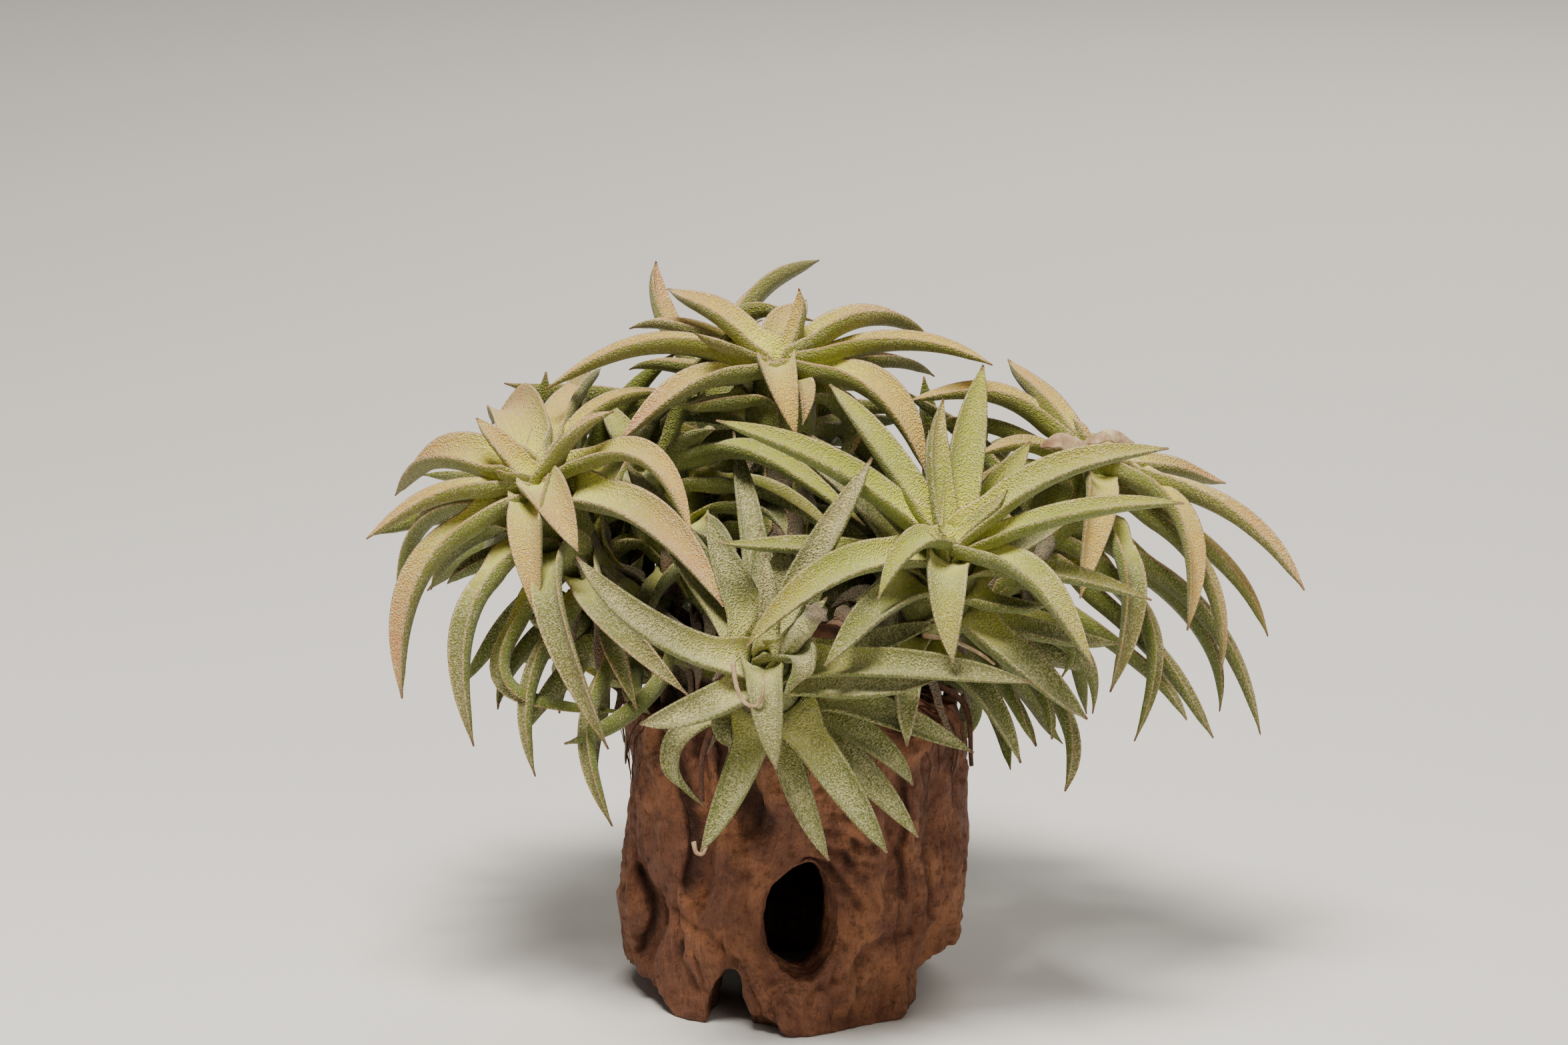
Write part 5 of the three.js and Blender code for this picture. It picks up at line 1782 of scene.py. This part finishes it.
def leaf_color(tree, marks, settings, green, heart, blush, clouds):
    """Pale at the heart, green along the blade and flushed towards its tip and rims, with painted
    shade on its back and, in part, on the old leaves.
    """
    share, tone, age = marks["along"], marks["tone"], marks["age"]
    old_green_and_shade, peach = settings.old_green_and_shade[:], settings.peach[:]
    # Older leaves are mixed towards a darker green, partly for their age and partly as painted shade
    # on the low, old leaves.
    blade = mixed(tree, ranged(tree, age, 0.15, 0.8), green, old_green_and_shade)
    color = mixed(tree, ranged(tree, share, 0.0, 0.5), heart, blade)
    flush = times(tree, ranged(tree, share, 0.25, 0.95), blush)
    flush = times(tree, flush, ranged(tree, clouds, 0.25, 0.65, 0.35, 1.0))
    flush = times(tree, flush, ranged(tree, age, 0.85, 0.25, 0.15, 1.0))
    flush = times(tree, flush, ranged(tree, tone, 0.0, 1.0, 0.45, 1.15), True)
    color = mixed(tree, flush, color, peach)
    turns = {"Value": marks["ribs"], "To Max": RIB_TURNS}
    ribs = math_node(tree, "SINE", add_node(tree, "ShaderNodeMapRange", turns).outputs[0])
    color = mixed(tree, ranged(tree, ribs, 0.2, 1.0, 0.0, 0.12), color, old_green_and_shade)
    # Painted shade on the leaf backs, which are mixed towards a dark green.
    under = ranged(tree, marks["over"], 0.25, 0.0, 0.0, 0.85)
    color = mixed(tree, under, color, settings.under[:])
    rim = times(tree, ranged(tree, marks["aside"], 0.9, 1.0), 0.6 * blush)
    return mixed(tree, rim, color, peach)


def frost_amount(tree, marks, frost, bare_rim):
    """How dense the coat is: thicker at the heart, thinner on the back and on bare rims."""
    amount = ranged(tree, marks["tone"], 0.0, 1.0, frost - 0.1, frost + 0.1)
    amount = added(tree, amount, ranged(tree, marks["over"], 0.25, 0.0, 0.0, -0.26))
    amount = added(tree, amount, ranged(tree, marks["along"], 0.35, 0.0, 0.0, 0.12))
    if bare_rim:
        bare = ranged(tree, marks["aside"], 0.55, 0.9, 0.0, -bare_rim)
        amount = added(tree, amount, bare)
    return amount


# The finish of each leaf slot: name, blade colour, how pale its heart is, how much more frost it has
# than the setting says, its blush, and how much thinner the frost is at the rims.
LEAF_FINISHES = {
    "leaf_peach": ("peach_leaf", "cream", 1.0, 0.0, 0.9, 0.0),
    "leaf_lime": ("lime_leaf", "lime", 1.0, 0.0, 0.3, 0.0),
    # The low heads' darker blade colour is painted shade; their thicker coat is their own.
    "leaf_silver": ("silver_leaf", "silver", 0.5, 0.22, 0.12, 0.35),
}


def leaf_material(slot, settings):
    """A fleshy leaf under a frosted coat, which dries at its point and where it is withered."""
    name, key, pale, more_frost, blush, bare_rim = LEAF_FINISHES[slot]
    green = getattr(settings, key)[:]
    heart = tuple(pale * a + (1 - pale) * b for a, b in zip(settings.heart, green))
    material, tree, shader = new_material(name)
    marks = {mark: attribute(tree, mark) for mark in LEAF_MARKS}
    clouds = cloud(tree, object_place(tree), 90.0, 4.0, 0.6)
    color = leaf_color(tree, marks, settings, green, heart, blush, clouds)
    amount = frost_amount(tree, marks, settings.frost + more_frost, bare_rim)
    inputs = {"Leaf": color, "Coat": settings.coat[:], "Amount": amount, "Rim": marks["aside"]}
    coat = placed(tree, "Frost", frost_group, inputs)
    point = ranged(tree, marks["along"], 0.94, 1.0, 0.0, 0.8)
    color = mixed(tree, point, coat["Color"], settings.dry_tip[:])
    withered = ramp(tree, clouds, ((0.3, settings.dry_tip[:]), *WITHERED_SHADES))
    color = mixed(tree, marks["dry"], color, withered)
    normal = bump(tree, coat["Height"], LEAF_BUMP)
    inputs = {"Base Color": color, "Roughness": coat["Roughness"], "Normal": normal}
    set_inputs(tree, shader, inputs | LEAF_VALUES)
    return material


BARK_SHADE = 0.55
WOOD_BUMP = 0.001
WOOD_VALUES = {"Specular IOR Level": 0.4}


def wood_material(name, settings, darken=1.0):
    """Weathered wood along the piece's fibre, with painted shade in its grooves and in the hollow.
    """
    material, tree, shader = new_material(name)
    inputs = {"Fibre": attribute(tree, "fibre", "Vector"), "Hollow": attribute(tree, "hollow")}
    for key in ("Worn", "Wood", "Dark"):
        inputs[key] = tuple(c * darken for c in getattr(settings, key.lower()))
    grain = placed(tree, "Grain", grain_group, inputs)
    # Painted shade in the hollow.
    inside = times(tree, attribute(tree, "inside"), 0.75)
    color = mixed(tree, inside, grain["Color"], inputs["Dark"])
    normal = bump(tree, grain["Height"], WOOD_BUMP)
    inputs = {"Base Color": color, "Roughness": grain["Roughness"], "Normal": normal}
    set_inputs(tree, shader, inputs | WOOD_VALUES)
    return material


DRY_BUMP = 0.0003
DRY_SHADES = ((0.5, (0.36, 0.25, 0.14)), (0.72, (0.55, 0.46, 0.30)))


def dry_material(settings):
    """Papery dead leaf: pale and brown in patches."""
    material, tree, shader = new_material("dry_leaf")
    clouds = cloud(tree, object_place(tree), 420.0, 4.0, 0.65)
    color = ramp(tree, clouds, ((0.3, settings.dry_tip[:]), *DRY_SHADES))
    normal = bump(tree, clouds, DRY_BUMP)
    set_inputs(tree, shader, {"Base Color": color, "Roughness": 0.8, "Normal": normal})
    return material


def floor_material(settings):
    material, tree, shader = new_material("pale_floor")
    patches = {"Scale": 40.0, "Detail": 3.0}
    clouds = add_node(tree, "ShaderNodeTexNoise", patches).outputs[0]
    pale, shaded = settings.floor[:], tuple(0.9 * c for c in settings.floor)
    color = mixed(tree, ranged(tree, clouds, 0.3, 0.7, 0.0, 0.06), pale, shaded)
    set_inputs(tree, shader, {"Base Color": color, "Roughness": 0.85})
    return material


# What a user would change.


def color_property(name, description, default):
    return FloatVectorProperty(
        name=name, description=description, default=default, subtype="COLOR", min=0, max=1, size=3
    )


class ClumpLeafSettings(bpy.types.PropertyGroup):
    lime: color_property("Lime", "Leaf colour of the greenest heads", (0.31, 0.36, 0.022))
    cream: color_property("Cream", "Leaf colour of the flushed heads", (0.56, 0.43, 0.065))
    # The low heads' darker green is painted shade.
    silver: color_property("Painted shade green", "Leaf colour of the shaded heads", (0.17, 0.185, 0.045))
    # The oldest leaves' darker green is partly their own and partly painted shade.
    old_green_and_shade: color_property("Old green and painted shade", "Colour of the oldest leaves", (0.12, 0.145, 0.016))
    # The leaf backs' dark green is painted shade.
    under: color_property("Painted back shade", "Colour of the leaf backs", (0.10, 0.13, 0.008))
    heart: color_property("Heart", "Colour of young leaf bases", (0.70, 0.70, 0.07))
    peach: color_property("Peach", "Flush of the sunlit leaf ends", (0.56, 0.225, 0.09))
    coat: color_property("Coat", "Colour of the silvery scales", (0.84, 0.74, 0.40))
    dry_tip: color_property("Dry tip", "Colour of the dead leaf points", (0.20, 0.10, 0.055))
    withered: IntProperty(
        name="Withered leaves", description="Dead leaves under each head", default=13, min=0, max=30
    )
    frost: FloatProperty(
        name="Frost", description="How dense the silvery coat is", default=0.34, min=0, max=1
    )


class ClumpWoodSettings(bpy.types.PropertyGroup):
    worn: color_property("Worn wood", "Colour of the worn ridges", (0.32, 0.13, 0.056))
    wood: color_property("Wood", "Main colour of the wood", (0.145, 0.052, 0.026))
    # Dark wood is the colour of the dark grain and also of the painted shade in grooves and in the
    # hollow.
    dark: color_property("Dark wood", "Colour in grooves and in the hollow", (0.032, 0.012, 0.006))
    relief: FloatProperty(
        name="Relief", description="Strength of the gnarled relief", default=1.0, min=0, max=2
    )
    fine_roots: IntProperty(
        name="Fine roots", description="Number of thin roots on the rim", default=34, min=0, max=90
    )


class ClumpStageSettings(bpy.types.PropertyGroup):
    floor: color_property("Floor", "Colour of the floor", (0.74, 0.73, 0.71))
    frame_width: FloatProperty(
        name="View width",
        description="Width that the camera sees at the clump",
        default=0.25,
        unit="LENGTH",
        min=0.05,
    )
    distance: FloatProperty(
        name="Distance",
        description="From the camera to the clump",
        default=1.2,
        unit="LENGTH",
        min=0.3,
    )
    light: FloatProperty(
        name="Light", description="Strength of the studio light", default=1.0, min=0, max=5
    )


# One operator for each group of pieces, and one for the stage.


class CLUMP_OT_heads(bpy.types.Operator):
    """Make the leafy heads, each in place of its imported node"""

    bl_idname = "clump.heads"
    bl_label = "Leafy heads"

    def execute(self, context):
        settings = context.scene.clump_leaves
        materials = {slot: leaf_material(slot, settings) for slot in LEAF_FINISHES}
        stems = [stem_of(head) for head in HEADS]
        leaves = planned_leaves(stems)
        bend_clear(leaves, stems)
        leaves = with_room(leaves, stems)
        draws, old_draws = Draws(LEAF_SEED), Draws(WITHERED_SEED)
        for index, (head, stem) in enumerate(zip(HEADS, stems)):
            body = Body(*LEAF_MARKS)
            add_stem(body, stem)
            add_withered(body, stem, settings.withered, old_draws)
            for leaf in leaves:
                if leaf["head"] == index:
                    add_leaf(body, leaf, stem, draws)
            node, slot = head["node"], head["slot"]
            if node == "head_front_low":
                add_rolled_leaf(body)
            piece = body.made(node.replace("head", "rosette"))
            finish_piece(piece, materials[slot], slot, node)
        return {"FINISHED"}


class CLUMP_OT_wood(bpy.types.Operator):
    """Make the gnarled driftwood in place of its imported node"""

    bl_idname = "clump.wood"
    bl_label = "Driftwood"

    def execute(self, context):
        settings = context.scene.clump_wood
        material = wood_material("weathered_wood", settings)
        finish_piece(made_wood(settings), material, "driftwood", "driftwood")
        return {"FINISHED"}


class CLUMP_OT_roots(bpy.types.Operator):
    """Make the matted woody base and its roots"""

    bl_idname = "clump.roots"
    bl_label = "Root mat"

    def execute(self, context):
        settings = context.scene.clump_wood
        material = wood_material("root_bark", settings, BARK_SHADE)
        finish_piece(made_mat(settings), material, "root_bark", "root_crown")
        return {"FINISHED"}


class CLUMP_OT_curls(bpy.types.Operator):
    """Make the dry curls and cupped scraps of old leaves"""

    bl_idname = "clump.curls"
    bl_label = "Withered curls"

    def execute(self, context):
        finish_piece(made_curls(), dry_material(context.scene.clump_leaves), "leaf_silver")
        return {"FINISHED"}


# Lights: place and aim in metres, size, and power in watts.
LIGHTS = (
    ("top_light", (-0.1, -0.34, 0.85), (0, 0, 0.07), 0.3, 15.5),
    ("front_light", (0.45, -0.8, 0.4), (0, 0, 0.06), 0.6, 2.2),
    ("back_light", (0.2, 0.7, 0.5), (0, 0, 0.08), 0.6, 3.0),
)
LIGHT_COLOR = (1.0, 0.94, 0.85)
ROOM_COLOR = (1.0, 0.98, 0.95, 1)
ROOM_LIGHT = 0.12
FLOOR_REACH = 6.0

# The middle of the photograph in the front view, and the width of the camera's sensor.
PHOTO_MIDDLE = (-1.6, 74.5)
SENSOR = 36.0


def add_floor(settings):
    mesh = bpy.data.meshes.new("floor")
    corners = [(x * FLOOR_REACH, y * FLOOR_REACH, 0) for x, y in SQUARE]
    mesh.from_pydata(corners, [], [(0, 1, 2, 3)])
    mesh.materials.append(floor_material(settings))
    floor = add_to_scene("floor", mesh)


def light_room(scene, settings):
    world = bpy.data.worlds.new("soft_room")
    world.use_nodes = True
    background = world.node_tree.nodes["Background"].inputs
    background[0].default_value = ROOM_COLOR
    background[1].default_value = ROOM_LIGHT * settings.light
    scene.world = world
    for name, place, aim, size, power in LIGHTS:
        data = bpy.data.lights.new(name, "AREA")
        data.shape, data.size, data.energy = "DISK", size, power * settings.light
        data.color = LIGHT_COLOR
        light = add_to_scene(name, data)
        light.location = place
        light.rotation_euler = (Vector(aim) - Vector(place)).to_track_quat("-Z", "Y").to_euler()


def add_camera(scene, settings):
    """A camera that looks at the clump as the photograph does."""
    data = bpy.data.cameras.new("camera")
    data.sensor_width = SENSOR
    data.lens = SENSOR * settings.distance / settings.frame_width
    camera = add_to_scene("camera", data)
    aim = Vector((seen(*PHOTO_MIDDLE, 0) + WOOD_AXIS) * MM)
    back = Vector((0, -math.cos(VIEW_TILT), math.sin(VIEW_TILT)))
    camera.location = aim + back * settings.distance
    camera.rotation_euler = (math.pi / 2 - VIEW_TILT, 0, 0)
    scene.camera = camera


class CLUMP_OT_stage(bpy.types.Operator):
    """Make the floor, the light and the camera"""

    bl_idname = "clump.stage"
    bl_label = "Stage"

    def execute(self, context):
        settings = context.scene.clump_stage
        add_floor(settings)
        light_room(context.scene, settings)
        add_camera(context.scene, settings)
        return {"FINISHED"}


OPERATORS = (CLUMP_OT_stage, CLUMP_OT_wood, CLUMP_OT_roots, CLUMP_OT_heads, CLUMP_OT_curls)


class CLUMP_PT_panel(bpy.types.Panel):
    """Makes the parts of the clump and lists their settings"""

    bl_label = "Air plant clump"
    bl_idname = "CLUMP_PT_panel"
    bl_space_type = "VIEW_3D"
    bl_region_type = "UI"
    bl_category = "Air plant"

    def draw(self, context):
        for operator in OPERATORS:
            self.layout.operator(operator.bl_idname)
        for key in ("clump_leaves", "clump_wood", "clump_stage"):
            box = self.layout.box()
            group = getattr(context.scene, key)
            for field in group.bl_rna.properties.keys():
                if field not in ("rna_type", "name"):
                    box.prop(group, field)


GROUPS = {
    "clump_leaves": ClumpLeafSettings,
    "clump_wood": ClumpWoodSettings,
    "clump_stage": ClumpStageSettings,
}


def register():
    for item in (*GROUPS.values(), *OPERATORS, CLUMP_PT_panel):
        bpy.utils.register_class(item)
    for key, item in GROUPS.items():
        setattr(bpy.types.Scene, key, PointerProperty(type=item))


def unregister():
    for key in GROUPS:
        delattr(bpy.types.Scene, key)
    for item in reversed((*GROUPS.values(), *OPERATORS, CLUMP_PT_panel)):
        bpy.utils.unregister_class(item)


def main():
    register()
    bpy.ops.clump.stage()
    bpy.ops.clump.wood()
    bpy.ops.clump.roots()
    bpy.ops.clump.heads()
    bpy.ops.clump.curls()


if __name__ == "__main__":
    main()
